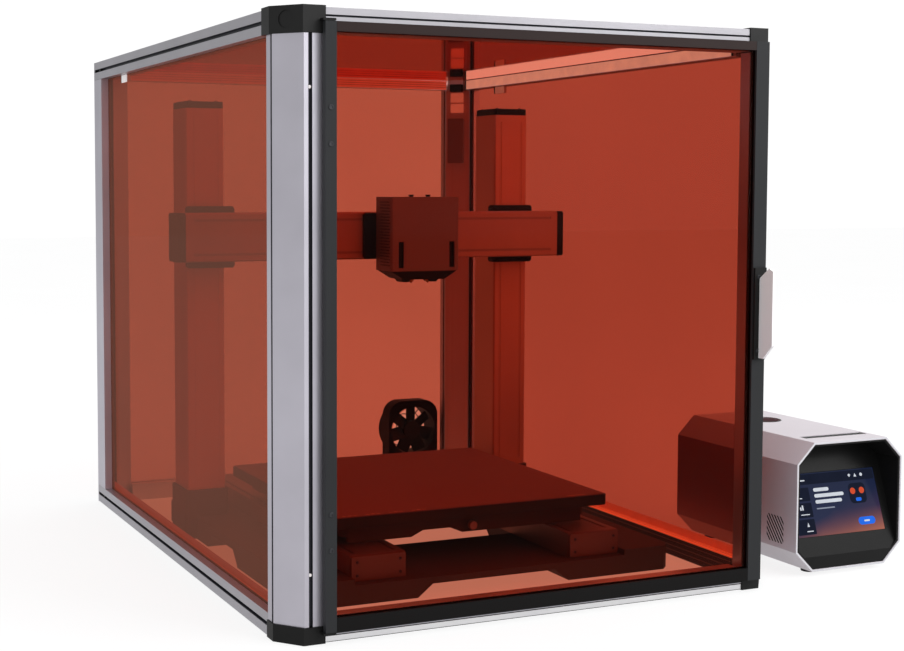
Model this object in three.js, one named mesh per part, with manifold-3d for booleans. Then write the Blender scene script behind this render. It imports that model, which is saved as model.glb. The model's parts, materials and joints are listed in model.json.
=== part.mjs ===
// Enclosed gantry printer: an aluminium enclosure with tinted panels and a hinged door,
// the printer that stands inside it, and the free-standing controller beside it.
//
// Millimetres, +Z up, +Y to the back. The pieces are drawn from the enclosure's front left
// bottom corner, and the outer group moves them so that the origin is the middle of the
// whole object's footprint, on the surface that it stands on.
import * as THREE from "three";
import { mergeVertices } from "three/addons/utils/BufferGeometryUtils.js";
import Module from "manifold-3d";

// Enclosure
const WIDTH = 710;
const DEPTH = 924;
const HEIGHT = 750;
const POST = 53;
const POST_CHAMFER_X = 27;
const POST_CHAMFER_Y = 33;
const POST_INNER_CHAMFER = 33;
const REAR_POST_CHAMFER = 3;
const POST_BORE = [17, 35];
const RAIL = 29;
const RAIL_FOOT = 1;
const RAIL_BORE = 11;
const RAIL_LIP = 5;
const SLOT_WIDTH = 5;
const SLOT_DEPTH = 5;
const POST_FRONT_SLOT = 35;
const POST_SIDE_SLOT = 36.5;
const CROSS_SLOT_WIDTH = 2.5;
const CROSS_SLOT_INSET = 9.5;
const CAP_PROUD = 1.5;
const CAP_RECESS_RADIUS = 10.5;
const CAP_RECESS_DEPTH = 1.2;
const TOP_CAP_BOTTOM = 720;
const TOP_CAP_TOP = 752;
const TOP_CAP_PROUD = 3;
const TOP_CAP_FRONT = 54;
const TOP_CAP_SIDE = 62;
const TOP_CAP_CHAMFER_Y = 37;
const BOTTOM_CAP_TOP = 21;
const PANEL = 4;
const PANEL_INSET = 12;
const GROOVE_DEPTH = 4.5;
const GROOVE_HOLD = 4;
const TOP_PANEL_Z = 738;
const REAR_RAIL_STOP = 7;

// Door
const DOOR_LEFT = 48.5;
const DOOR_RIGHT = 677.5;
const DOOR_BOTTOM = 16;
const DOOR_TOP = 733;
const DOOR_FRONT = -14;
const DOOR_BACK = -2;
const HINGE_STILE = 14;
const LATCH_STILE = 20.5;
const DOOR_TOP_RAIL = 11.5;
const DOOR_BOTTOM_RAIL = 17;
const DOOR_PANEL_FRONT = -10;
const HINGE_X = 53;
const HINGE_Y = -8;
const HINGE_PIN_RADIUS = 2.5;
const HINGE_PIN_LENGTH = 9;
const HINGE_PLATE = 2.8;
const HINGE_EDGE_CHAMFER = 3;
const HANDLE_X = 665;
const HANDLE_THICKNESS = 3.5;
const HANDLE_PLATE = 3;
const HANDLE_BOTTOM = 316;
const HANDLE_TOP = 436;
const HANDLE_REACH = -45;

// Printer base
const CENTRE_X = WIDTH / 2;
const BASE_LEFT = 72;
const BASE_FRONT = 137;
const BASE_BACK = 720;
const BASE_HEIGHT = 26;
const BASE_SIDE_HEIGHT = 34;
const BASE_END_DEPTH = 63;
const BASE_END_INNER = 240;
const BEAM_LEFT = 262;
const BEAM_UNDERSIDE = 17;
const FRONT_PLATE_BACK = 322;
const ARCH_FRONT = 385;
const ARCH_BACK = 523;
const ARCH_HEIGHT = 22;
const BASE_CORNER = 14;
const Y_MODULE_LEFT = 150;
const Y_MODULE_WIDTH = 80;
const Y_MODULE_FRONT = 157;
const Y_MODULE_BACK = 765;
const Y_MODULE_TOP = 60;
const Y_MODULE_END = 12;
const Y_MODULE_WALL = 4;

// Gantry
const COLUMN_LEFT = 60;
const COLUMN_WIDTH = 60;
const COLUMN_FRONT = 585;
const COLUMN_DEPTH = 70;
const COLUMN_BOTTOM = 75;
const COLUMN_TOP = 661;
const COLUMN_CAP = 10;
const PEDESTAL_MARGIN = 5;
const X_MODULE_LEFT = 39;
const X_MODULE_FRONT = 518;
const X_MODULE_DEPTH = 52;
const X_MODULE_BOTTOM = 429.5;
const X_MODULE_TOP = 502.5;
const X_END_CAP = 11;
const CARRIAGE_BOTTOM = 418;
const CARRIAGE_TOP = 512;
const CARRIAGE_OUTER = 2;
const CARRIAGE_INNER = 12;
const BELT_SLOT = 4;
const BELT_SLOT_DEPTH = 3;
const BELT_SLOT_INSET = 9;
const MODULE_BORE_INSET = 8;
const SLOT_END = 12;

// Bed
const BED_SIZE = 425;
const BED_FRONT = 194;
const BED_BOTTOM = 87;
const BED_TOP = 101.6;
const SHEET_THICKNESS = 0.7;
const PLATFORM_INSET = 23;
const PLATFORM_BOTTOM = 70;
const PLATFORM_CORNER = 8;
const SKIRT_THICKNESS = 8;
const SKIRT_BOTTOM = 62;
const SKIRT_ARCH_TOP = 73;
const SKIRT_ARCH = [102, 126, 154, 180];
const SHOE_HALF_LENGTH = 60;
const SHOE_INSET = 5;

// Tool head
const TOOL_LEFT = 343;
const TOOL_RIGHT = 459;
const TOOL_FRONT = 455;
const TOOL_BACK = 511;
const TOOL_BOTTOM = 413;
const TOOL_TOP = 526.5;
const TOOL_WALL = 2.5;
const TOOL_SLOT_WIDTH = 9;
const TOOL_SLOT_HEIGHT = 40;
const TOOL_SLOT_INSETS = [13, 8];
const CARRIAGE_OVERHANG = 20;
const NOZZLE_X = [390.5, 419.2];
const NOZZLE_Y = 485;
const NOZZLE_TIP = 393;
const DUCT_BOTTOM = 400;
const DUCT_TAPER = 20;
const DUCT_CORE = 60;

// Exhaust fan
const FAN_X = 596;
const FAN_Z = 86;
const FAN_HALF = 50;
const FAN_DEPTH = 30;
const FAN_TOP_RADIUS = 28;
const FAN_BORE = 45;
const FAN_COLLAR = 50;
const FAN_COLLAR_LENGTH = 18;
const FAN_HUB = 17;
const FAN_BLADES = 7;

// Controller
const CONTROLLER_LEFT = 764;
const CONTROLLER_WIDTH = 186;
const CONTROLLER_FRONT = 20;
const CONTROLLER_LENGTH = 283;
const CONTROLLER_BOTTOM = 6;
const CONTROLLER_TOP = 188;
const CONTROLLER_CHAMFER = 29;
const CONTROLLER_WALL = 3;
const SCREEN_WIDTH = 154;
const SCREEN_HEIGHT = 89;
const SCREEN_THICKNESS = 2;
const SCREEN_LEAN = Math.atan2(29, 84);
const SCREEN_FOOT_Z = 53;
const SCREEN_FOOT_Y = 10;
const BUTTON_X = 863;
const BUTTON_Y = 220;
const BUTTON_RADIUS = 22.5;
const BUTTON_HEIGHT = 7;
const TOP_RECESS = { x: [806, 916], y: [54, 70], depth: 2 };
const VENT_Y = [47, 84];
const VENT_Z = [42, 80];
const VENT_COUNT = 9;
const VENT_WIDTH = 2.6;
const VENT_PITCH = 6.4;
const VENT_TILT = THREE.MathUtils.degToRad(38);
const FOOT_RADIUS = 9;
const FOOT_INSET_X = 45;
const FOOT_INSET_Y = 28;
const BEZEL_WALL = 2.5;
const BEZEL_DEPTH = 66;
const REAR_PLATE = 5;
const ROCKER_X = CONTROLLER_LEFT + 50;
const ROCKER_Z = 50;
const ROCKER_TILT = THREE.MathUtils.degToRad(8);
const INLET_X = [834, 862];
const INLET_Z = [40, 60];
const INLET_DEPTH = 16;
const INLET_WALL = 2;

const GAP = 0.3;
const BEYOND = 5;

const ORIGIN_X = (CONTROLLER_LEFT + CONTROLLER_WIDTH - TOP_CAP_PROUD) / 2;
const ENCLOSURE_BACK = DEPTH - PANEL_INSET + GAP;
const FAN_BACK = ENCLOSURE_BACK + FAN_DEPTH + FAN_COLLAR_LENGTH;
const ORIGIN_Y = (HANDLE_REACH + FAN_BACK) / 2;

const wasm = await Module();
wasm.setup();

const material = (color, roughness, metalness, opacity = 1) =>
  new THREE.MeshStandardMaterial({
    color,
    roughness,
    metalness,
    opacity,
    transparent: opacity < 1,
  });
const ALUMINIUM = material(0xb9b8c2, 0.38, 0.9);
const BRIGHT_ALUMINIUM = material(0xd9d8de, 0.3, 0.95);
const BLACK_PLASTIC = material(0x1b1b1c, 0.55, 0);
const TRIM = material(0x313335, 0.5, 0.2);
const ACRYLIC = material(0xc0391f, 0.08, 0, 0.45);
const CAST_GREY = material(0x3a3a3c, 0.6, 0.4);
const BED_SURFACE = material(0x3b2622, 0.75, 0);
const BRASS = material(0xb88a3a, 0.35, 0.9);
const SCREEN_GLASS = material(0x1a2440, 0.1, 0);
const BUTTON_RED = material(0x5e0c12, 0.4, 0);

// ---------- solids ----------

function toManifold(geometry) {
  const bare = geometry.clone();
  bare.deleteAttribute("normal");
  bare.deleteAttribute("uv");
  const merged = mergeVertices(bare, 1e-3);
  return new wasm.Manifold(
    new wasm.Mesh({
      numProp: 3,
      vertProperties: merged.attributes.position.array,
      triVerts: new Uint32Array(merged.index.array),
    }),
  );
}

function toGeometry(manifold) {
  const mesh = manifold.getMesh();
  const geometry = new THREE.BufferGeometry();
  geometry.setAttribute("position", new THREE.BufferAttribute(mesh.vertProperties, 3));
  geometry.setIndex(new THREE.BufferAttribute(mesh.triVerts, 1));
  geometry.computeVertexNormals();
  return geometry;
}

function cut(geometry, ...tools) {
  const left = tools.reduce((rest, tool) => rest.subtract(toManifold(tool)), toManifold(geometry));
  return toGeometry(left);
}

function join(geometry, ...more) {
  const whole = more.reduce((sum, piece) => sum.add(toManifold(piece)), toManifold(geometry));
  return toGeometry(whole);
}

// A box from its lowest and highest corner.
function box([x0, y0, z0], [x1, y1, z1]) {
  const geometry = new THREE.BoxGeometry(x1 - x0, y1 - y0, z1 - z0);
  return geometry.translate((x0 + x1) / 2, (y0 + y1) / 2, (z0 + z1) / 2);
}

// A cylinder about a line through centre along one axis.
function rod(centre, axis, radius, length, sides = 32) {
  const geometry = new THREE.CylinderGeometry(radius, radius, length, sides);
  if (axis === "x") geometry.rotateZ(Math.PI / 2);
  if (axis === "z") geometry.rotateX(Math.PI / 2);
  return geometry.translate(...centre);
}

function shapeOf(points, holes = []) {
  const shape = new THREE.Shape(points.map(([u, v]) => new THREE.Vector2(u, v)));
  shape.holes = holes.map((hole) => new THREE.Path(hole.map(([u, v]) => new THREE.Vector2(u, v))));
  return shape;
}

// A section pushed along an axis: along x it is drawn in (y, z), along y in (x, z), along z in (x, y).
function prism(shape, axis, from, to) {
  const geometry = new THREE.ExtrudeGeometry(shape, {
    depth: to - from,
    bevelEnabled: false,
    curveSegments: 8,
  });
  const [u, v, w] = {
    x: [[0, 1, 0], [0, 0, 1], [1, 0, 0]],
    y: [[1, 0, 0], [0, 0, 1], [0, -1, 0]],
    z: [[1, 0, 0], [0, 1, 0], [0, 0, 1]],
  }[axis].map((direction) => new THREE.Vector3(...direction));
  const start = axis === "y" ? w.clone().multiplyScalar(-to) : w.clone().multiplyScalar(from);
  const basis = new THREE.Matrix4().makeBasis(u, v, w).setPosition(start);
  return geometry.applyMatrix4(basis);
}

const rectangle = (u0, v0, u1, v1) => [
  [u0, v0],
  [u1, v0],
  [u1, v1],
  [u0, v1],
];

// A rectangle with 45 degree corners, or with one corner cut when only that one is named.
function chamfered(u0, v0, u1, v1, cuts) {
  const [a, b, c, d] = Array.isArray(cuts) ? cuts : [cuts, cuts, cuts, cuts];
  const points = [
    [u0 + a, v0],
    [u1 - b, v0],
    [u1, v0 + b],
    [u1, v1 - c],
    [u1 - c, v1],
    [u0 + d, v1],
    [u0, v1 - d],
    [u0, v0 + a],
  ];
  return points.filter((p, i) => {
    const next = points[(i + 1) % points.length];
    return Math.hypot(p[0] - next[0], p[1] - next[1]) > 1e-6;
  });
}

function part(name, geometry, look) {
  const mesh = new THREE.Mesh(geometry, look.clone());
  mesh.name = name;
  return mesh;
}

function group(...members) {
  const holder = new THREE.Group();
  holder.add(...members);
  return holder;
}

const mirrored = (x) => WIDTH - x;
const mirroredSpan = (x0, x1) => [mirrored(x1), mirrored(x0)];

// ---------- enclosure frame ----------

// The four upright posts are one section: an L whose inner corner is cut off. The front two
// have a wide chamfer on their outer corner and end under the corner caps; the rear two are
// full height, with the rails let into their ends.
function frontPost(name, isLeft) {
  const outline = [
    [POST_CHAMFER_X, 0],
    [POST, 0],
    [POST, POST - POST_INNER_CHAMFER],
    [POST - POST_INNER_CHAMFER, POST],
    [0, POST],
    [0, POST_CHAMFER_Y],
  ];
  const bore = rectangle(POST_BORE[0], POST_BORE[0], POST_BORE[1], POST_BORE[1]);
  const turn = (points) => (isLeft ? points : points.map(([x, y]) => [mirrored(x), y]).reverse());
  const shape = shapeOf(turn(outline), [turn(bore)]);
  const bar = prism(shape, "z", BOTTOM_CAP_TOP + GAP, TOP_CAP_BOTTOM - GAP);
  const half = SLOT_WIDTH / 2;
  const place = (x0, x1) => (isLeft ? [x0, x1] : mirroredSpan(x0, x1));
  const slotX = place(POST_FRONT_SLOT - half, POST_FRONT_SLOT + half);
  const sideX = place(-BEYOND, SLOT_DEPTH);
  const panelX = place(PANEL_INSET - GAP, PANEL_INSET + PANEL + GAP);
  return part(
    name,
    cut(
      bar,
      box([slotX[0], -BEYOND, 0], [slotX[1], SLOT_DEPTH, HEIGHT]),
      box([sideX[0], POST_SIDE_SLOT - half, 0], [sideX[1], POST_SIDE_SLOT + half, HEIGHT]),
      box([panelX[0], POST - GROOVE_DEPTH, 0], [panelX[1], POST + BEYOND, HEIGHT]),
    ),
    ALUMINIUM,
  );
}

function rearPost(name, isLeft) {
  const x0 = isLeft ? 0 : WIDTH - POST;
  const y0 = DEPTH - POST;
  const c = REAR_POST_CHAMFER;
  const inner = POST_INNER_CHAMFER;
  const cuts = isLeft ? [0, inner, 0, c] : [inner, 0, c, 0];
  const outline = chamfered(x0, y0, x0 + POST, DEPTH, cuts);
  const place = (a, b) => (isLeft ? [a, b] : mirroredSpan(a, b));
  const boreX = place(...POST_BORE);
  const bore = rectangle(boreX[0], DEPTH - POST_BORE[1], boreX[1], DEPTH - POST_BORE[0]);
  const bar = prism(shapeOf(outline, [bore]), "z", 0, HEIGHT);
  const railX = place(-BEYOND, RAIL + GAP);
  const panelX = place(PANEL_INSET - GAP, PANEL_INSET + PANEL + GAP);
  const rearX = place(POST - GROOVE_DEPTH, POST + BEYOND);
  const panelY = DEPTH - PANEL_INSET - PANEL;
  const panelTop = HEIGHT - RAIL + GROOVE_DEPTH;
  const railEnd = DEPTH - REAR_RAIL_STOP + GAP;
  return part(
    name,
    cut(
      bar,
      box([railX[0], y0 - BEYOND, -BEYOND], [railX[1], railEnd, RAIL + GAP]),
      box([railX[0], y0 - BEYOND, HEIGHT - RAIL - GAP], [railX[1], railEnd, HEIGHT + BEYOND]),
      box([panelX[0], y0 - BEYOND, 0], [panelX[1], y0 + GROOVE_DEPTH, HEIGHT]),
      box([rearX[0], panelY - GAP, 0], [rearX[1], panelY + PANEL + GAP, panelTop]),
    ),
    ALUMINIUM,
  );
}

// Corner caps at the two front corners, proud of the posts. The top ones are the larger, stand
// further out at the side and have a shallow round recess in their slanting face.
function cornerCap(name, isLeft, isTop) {
  const proud = isTop ? TOP_CAP_PROUD : CAP_PROUD;
  const front = isTop ? TOP_CAP_FRONT : POST;
  const side = isTop ? TOP_CAP_SIDE : POST;
  const frontEdge = [POST_CHAMFER_X - CAP_PROUD, -CAP_PROUD];
  const sideEdge = [-proud, (isTop ? TOP_CAP_CHAMFER_Y : POST_CHAMFER_Y) - CAP_PROUD];
  const outline = [
    frontEdge,
    [front, -CAP_PROUD],
    [front, RAIL],
    [RAIL, side],
    [-proud, side],
    sideEdge,
  ];
  const points = isLeft ? outline : outline.map(([x, y]) => [mirrored(x), y]).reverse();
  const z0 = isTop ? TOP_CAP_BOTTOM : 0;
  const z1 = isTop ? TOP_CAP_TOP : BOTTOM_CAP_TOP;
  const block = prism(shapeOf(points), "z", z0, z1);
  const tools = [];
  if (isTop) {
    const recess = rod([0, 0, 0], "y", CAP_RECESS_RADIUS, 2 * CAP_RECESS_DEPTH, 32);
    const turn = Math.atan2(sideEdge[1] - frontEdge[1], frontEdge[0] - sideEdge[0]);
    recess.rotateZ(isLeft ? -turn : turn);
    const [x, y] = [(frontEdge[0] + sideEdge[0]) / 2, (frontEdge[1] + sideEdge[1]) / 2];
    recess.translate(isLeft ? x : mirrored(x), y, (z0 + z1) / 2);
    tools.push(recess);
  }
  const panelSpan = [PANEL_INSET - GAP, PANEL_INSET + PANEL + GAP];
  const [panelX0, panelX1] = isLeft ? panelSpan : mirroredSpan(...panelSpan);
  const panelTop = HEIGHT - RAIL + GROOVE_DEPTH;
  tools.push(box([panelX0, POST - GROOVE_DEPTH, RAIL], [panelX1, side + BEYOND, panelTop]));
  return part(name, cut(block, ...tools), BLACK_PLASTIC);
}

// Rails of a square section, with a bore, a slot along the outer face and grooves that hold
// the panels.
function sideRail(name, isLeft, isTop) {
  const z0 = isTop ? HEIGHT - RAIL : RAIL_FOOT;
  const z1 = isTop ? HEIGHT : RAIL;
  const y0 = (isTop ? TOP_CAP_SIDE : POST) + GAP;
  const y1 = DEPTH - REAR_RAIL_STOP;
  const [low, high] = [y0 - BEYOND, y1 + BEYOND];
  const place = (a, b) => (isLeft ? [a, b] : mirroredSpan(a, b));
  const [x0, x1] = place(0, RAIL);
  const middle = (z0 + z1) / 2;
  const slot = place(-BEYOND, SLOT_DEPTH);
  const groove = place(PANEL_INSET - GAP, PANEL_INSET + PANEL + GAP);
  const bore = place(SLOT_DEPTH + 2, RAIL - RAIL_LIP);
  const grooveZ = isTop ? [z0 - BEYOND, z0 + GROOVE_DEPTH] : [z1 - GROOVE_DEPTH, z1 + BEYOND];
  const half = SLOT_WIDTH / 2;
  const boreHalf = RAIL_BORE / 2;
  const tools = [
    box([slot[0], low, middle - half], [slot[1], high, middle + half]),
    box([groove[0], low, grooveZ[0]], [groove[1], high, grooveZ[1]]),
    box([bore[0], low, middle - boreHalf], [bore[1], high, middle + boreHalf]),
  ];
  if (isTop) {
    const inner = place(RAIL - GROOVE_DEPTH, RAIL + BEYOND);
    tools.push(box([inner[0], low, TOP_PANEL_Z - GAP], [inner[1], high, TOP_PANEL_Z + PANEL + GAP]));
  }
  return part(name, cut(box([x0, y0, z0], [x1, y1, z1]), ...tools), ALUMINIUM);
}

function crossRail(name, isFront, isTop) {
  const z0 = isTop ? HEIGHT - RAIL : RAIL_FOOT;
  const z1 = isTop ? HEIGHT : RAIL;
  const x0 = (isTop && isFront ? TOP_CAP_FRONT : POST) + GAP;
  const x1 = mirrored(x0);
  const [low, high] = [x0 - BEYOND, x1 + BEYOND];
  const place = (a, b) => (isFront ? [a, b] : [DEPTH - b, DEPTH - a]);
  const [y0, y1] = place(0, RAIL);
  const slotZ = isTop ? z1 - CROSS_SLOT_INSET : z0 + CROSS_SLOT_INSET;
  const middle = (z0 + z1) / 2;
  const slot = place(-BEYOND, SLOT_DEPTH);
  const bore = place(SLOT_DEPTH + 2, RAIL - RAIL_LIP);
  const half = CROSS_SLOT_WIDTH / 2;
  const boreHalf = RAIL_BORE / 2;
  const tools = [
    box([low, slot[0], slotZ - half], [high, slot[1], slotZ + half]),
    box([low, bore[0], middle - boreHalf], [high, bore[1], middle + boreHalf]),
  ];
  if (isTop) {
    const inner = place(RAIL - GROOVE_DEPTH, RAIL + BEYOND);
    tools.push(box([low, inner[0], TOP_PANEL_Z - GAP], [high, inner[1], TOP_PANEL_Z + PANEL + GAP]));
  }
  if (!isFront) {
    const grooveY = place(PANEL_INSET - GAP, PANEL_INSET + PANEL + GAP);
    const grooveZ = isTop ? [z0 - BEYOND, z0 + GROOVE_DEPTH] : [z1 - GROOVE_DEPTH, z1 + BEYOND];
    tools.push(box([low, grooveY[0], grooveZ[0]], [high, grooveY[1], grooveZ[1]]));
  }
  return part(name, cut(box([x0, y0, z0], [x1, y1, z1]), ...tools), BRIGHT_ALUMINIUM);
}

function sidePanel(name, isLeft) {
  const [x0, x1] = isLeft
    ? [PANEL_INSET, PANEL_INSET + PANEL]
    : mirroredSpan(PANEL_INSET, PANEL_INSET + PANEL);
  return part(
    name,
    box(
      [x0, POST - GROOVE_HOLD, RAIL - GROOVE_HOLD],
      [x1, DEPTH - POST + GROOVE_HOLD, HEIGHT - RAIL + GROOVE_HOLD],
    ),
    ACRYLIC,
  );
}

function rearPanel() {
  const y0 = DEPTH - PANEL_INSET - PANEL;
  const sheet = box(
    [POST - GROOVE_HOLD, y0, RAIL - GROOVE_HOLD],
    [WIDTH - POST + GROOVE_HOLD, y0 + PANEL, HEIGHT - RAIL + GROOVE_HOLD],
  );
  return part("rear_panel", cut(sheet, rod([FAN_X, y0, FAN_Z], "y", FAN_BORE, 40)), ACRYLIC);
}

function topPanel() {
  const inset = RAIL - GROOVE_HOLD;
  const [low, high] = [TOP_PANEL_Z - BEYOND, TOP_PANEL_Z + PANEL + BEYOND];
  const sheet = box([inset, inset, TOP_PANEL_Z], [WIDTH - inset, DEPTH - inset, TOP_PANEL_Z + PANEL]);
  const spans = [
    [-BEYOND, TOP_CAP_SIDE + 2 * GAP, TOP_CAP_FRONT + 2 * GAP],
    [DEPTH - POST - 2 * GAP, DEPTH + BEYOND, POST + 2 * GAP],
  ];
  const corners = spans.flatMap(([y0, y1, x]) => [
    box([-BEYOND, y0, low], [x, y1, high]),
    box([mirrored(x), y0, low], [WIDTH + BEYOND, y1, high]),
  ]);
  return part("top_panel", cut(sheet, ...corners), ACRYLIC);
}

// The fixed half of a door hinge: a plate on the corner cap, over or under the stile's end,
// and the pin that the stile turns on.
function hingeBracket(name, isUpper) {
  const z0 = isUpper ? DOOR_TOP + 2 * GAP : DOOR_BOTTOM - 2 * GAP - HINGE_PLATE;
  const plate = box(
    [DOOR_LEFT - 2, DOOR_FRONT + 1.5, z0],
    [DOOR_LEFT + HINGE_STILE, -CAP_PROUD - GAP, z0 + HINGE_PLATE],
  );
  const pinZ = isUpper ? z0 - HINGE_PIN_LENGTH / 2 + 1 : z0 + HINGE_PLATE + HINGE_PIN_LENGTH / 2 - 1;
  const pin = rod([HINGE_X, HINGE_Y, pinZ], "z", HINGE_PIN_RADIUS, HINGE_PIN_LENGTH, 20);
  return part(name, join(plate, pin), BLACK_PLASTIC);
}

// ---------- exhaust fan ----------

function fanHousing() {
  const x0 = FAN_X - FAN_HALF;
  const x1 = FAN_X + FAN_HALF;
  const z0 = RAIL + 1;
  const z1 = FAN_Z + FAN_HALF + 6;
  const r = FAN_TOP_RADIUS;
  const shape = new THREE.Shape();
  shape.moveTo(x0, z0);
  shape.lineTo(x1, z0);
  shape.lineTo(x1, z1 - r);
  shape.absarc(x1 - r, z1 - r, r, 0, Math.PI / 2, false);
  shape.lineTo(x0 + r, z1);
  shape.absarc(x0 + r, z1 - r, r, Math.PI / 2, Math.PI, false);
  shape.closePath();
  const y0 = ENCLOSURE_BACK;
  const y1 = y0 + FAN_DEPTH;
  const body = prism(shape, "y", y0, y1);
  const collarY = y1 + FAN_COLLAR_LENGTH / 2 - 1;
  const collar = rod([FAN_X, collarY, FAN_Z], "y", FAN_COLLAR, FAN_COLLAR_LENGTH + 2, 40);
  const shell = cut(
    join(body, collar),
    rod([FAN_X, y0, FAN_Z], "y", FAN_BORE, 2 * (FAN_DEPTH + FAN_COLLAR_LENGTH) + BEYOND, 40),
  );
  const hub = rod([FAN_X, y1 - 4, FAN_Z], "y", FAN_HUB, 8, 24);
  const struts = [0, 1, 2].map((i) => {
    const strut = box([-2, -3, FAN_HUB - 2], [2, 3, FAN_BORE + 2]);
    strut.rotateY((i * 2 * Math.PI) / 3);
    return strut.translate(FAN_X, y1 - 4, FAN_Z);
  });
  return part("exhaust_fan_housing", join(shell, hub, ...struts), BLACK_PLASTIC);
}

function fanRotor() {
  const y0 = ENCLOSURE_BACK + 4;
  const hub = rod([0, 0, 0], "y", FAN_HUB, 14, 28);
  const blades = Array.from({ length: FAN_BLADES }, (_, i) => {
    const blade = box([-12, -0.9, FAN_HUB - 2], [12, 0.9, FAN_BORE - 2]);
    blade.rotateZ(THREE.MathUtils.degToRad(28));
    return blade.rotateY((i * 2 * Math.PI) / FAN_BLADES);
  });
  const wheel = join(hub, ...blades).translate(FAN_X, y0 + 8, FAN_Z);
  return part("fan_rotor", wheel, BLACK_PLASTIC);
}

// ---------- door ----------

function doorStile(name, isHinge) {
  const [x0, x1] = isHinge
    ? [DOOR_LEFT, DOOR_LEFT + HINGE_STILE]
    : [DOOR_RIGHT - LATCH_STILE, DOOR_RIGHT];
  const cuts = isHinge ? [0, 0, 0, HINGE_EDGE_CHAMFER] : 0;
  const bar = prism(shapeOf(chamfered(x0, DOOR_FRONT, x1, DOOR_BACK, cuts)), "z", DOOR_BOTTOM, DOOR_TOP);
  const groove = isHinge ? [x1 - GROOVE_DEPTH, x1 + BEYOND] : [x0 - BEYOND, x0 + GROOVE_DEPTH];
  const y0 = DOOR_PANEL_FRONT - GAP;
  const y1 = DOOR_PANEL_FRONT + PANEL + GAP;
  const z0 = DOOR_BOTTOM + DOOR_BOTTOM_RAIL - GROOVE_DEPTH;
  const z1 = DOOR_TOP - DOOR_TOP_RAIL + GROOVE_DEPTH;
  const tools = [box([groove[0], y0, z0], [groove[1], y1, z1])];
  if (isHinge) {
    for (const z of [DOOR_BOTTOM, DOOR_TOP]) {
      tools.push(rod([HINGE_X, HINGE_Y, z], "z", HINGE_PIN_RADIUS + 2 * GAP, 2 * HINGE_PIN_LENGTH, 20));
    }
  }
  return part(name, cut(bar, ...tools), TRIM);
}

function doorRail(name, z0, z1, isTop) {
  const bar = box(
    [DOOR_LEFT + HINGE_STILE + GAP, DOOR_FRONT, z0],
    [DOOR_RIGHT - LATCH_STILE - GAP, DOOR_BACK, z1],
  );
  const groove = isTop ? [z0 - BEYOND, z0 + GROOVE_DEPTH] : [z1 - GROOVE_DEPTH, z1 + BEYOND];
  const tool = box(
    [DOOR_LEFT, DOOR_PANEL_FRONT - GAP, groove[0]],
    [DOOR_RIGHT, DOOR_PANEL_FRONT + PANEL + GAP, groove[1]],
  );
  return part(name, cut(bar, tool), TRIM);
}

function doorPanel() {
  const [left, right] = [DOOR_LEFT + HINGE_STILE - GROOVE_HOLD, DOOR_RIGHT - LATCH_STILE + GROOVE_HOLD];
  const bottom = DOOR_BOTTOM + DOOR_BOTTOM_RAIL - GROOVE_HOLD;
  const top = DOOR_TOP - DOOR_TOP_RAIL + GROOVE_HOLD;
  const sheet = box([left, DOOR_PANEL_FRONT, bottom], [right, DOOR_PANEL_FRONT + PANEL, top]);
  return part("door_panel", sheet, ACRYLIC);
}

// The pull is a fin that stands out from the latch stile, with sloping ends, on a thin base plate.
function doorHandle() {
  const plateFront = DOOR_FRONT - GAP - HANDLE_PLATE;
  const base = box(
    [DOOR_RIGHT - LATCH_STILE + 1, plateFront, HANDLE_BOTTOM - 2],
    [DOOR_RIGHT - 1, DOOR_FRONT - GAP, HANDLE_TOP],
  );
  const root = plateFront - GAP;
  const side = [
    [HANDLE_REACH, HANDLE_BOTTOM + 18],
    [HANDLE_REACH + 18, HANDLE_BOTTOM],
    [root, HANDLE_BOTTOM],
    [root, HANDLE_TOP - 14],
    [HANDLE_REACH + 8, HANDLE_TOP],
    [HANDLE_REACH, HANDLE_TOP - 4],
  ];
  const fin = prism(shapeOf(side), "x", HANDLE_X, HANDLE_X + HANDLE_THICKNESS);
  return [part("door_handle_base", base, BLACK_PLASTIC), part("door_handle", fin, BRIGHT_ALUMINIUM)];
}

function door() {
  return group(
    doorPanel(),
    doorStile("door_hinge_stile", true),
    doorStile("door_latch_stile", false),
    doorRail("door_top_rail", DOOR_TOP - DOOR_TOP_RAIL, DOOR_TOP, true),
    doorRail("door_bottom_rail", DOOR_BOTTOM, DOOR_BOTTOM + DOOR_BOTTOM_RAIL, false),
    ...doorHandle(),
  );
}

// ---------- printer base ----------

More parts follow.
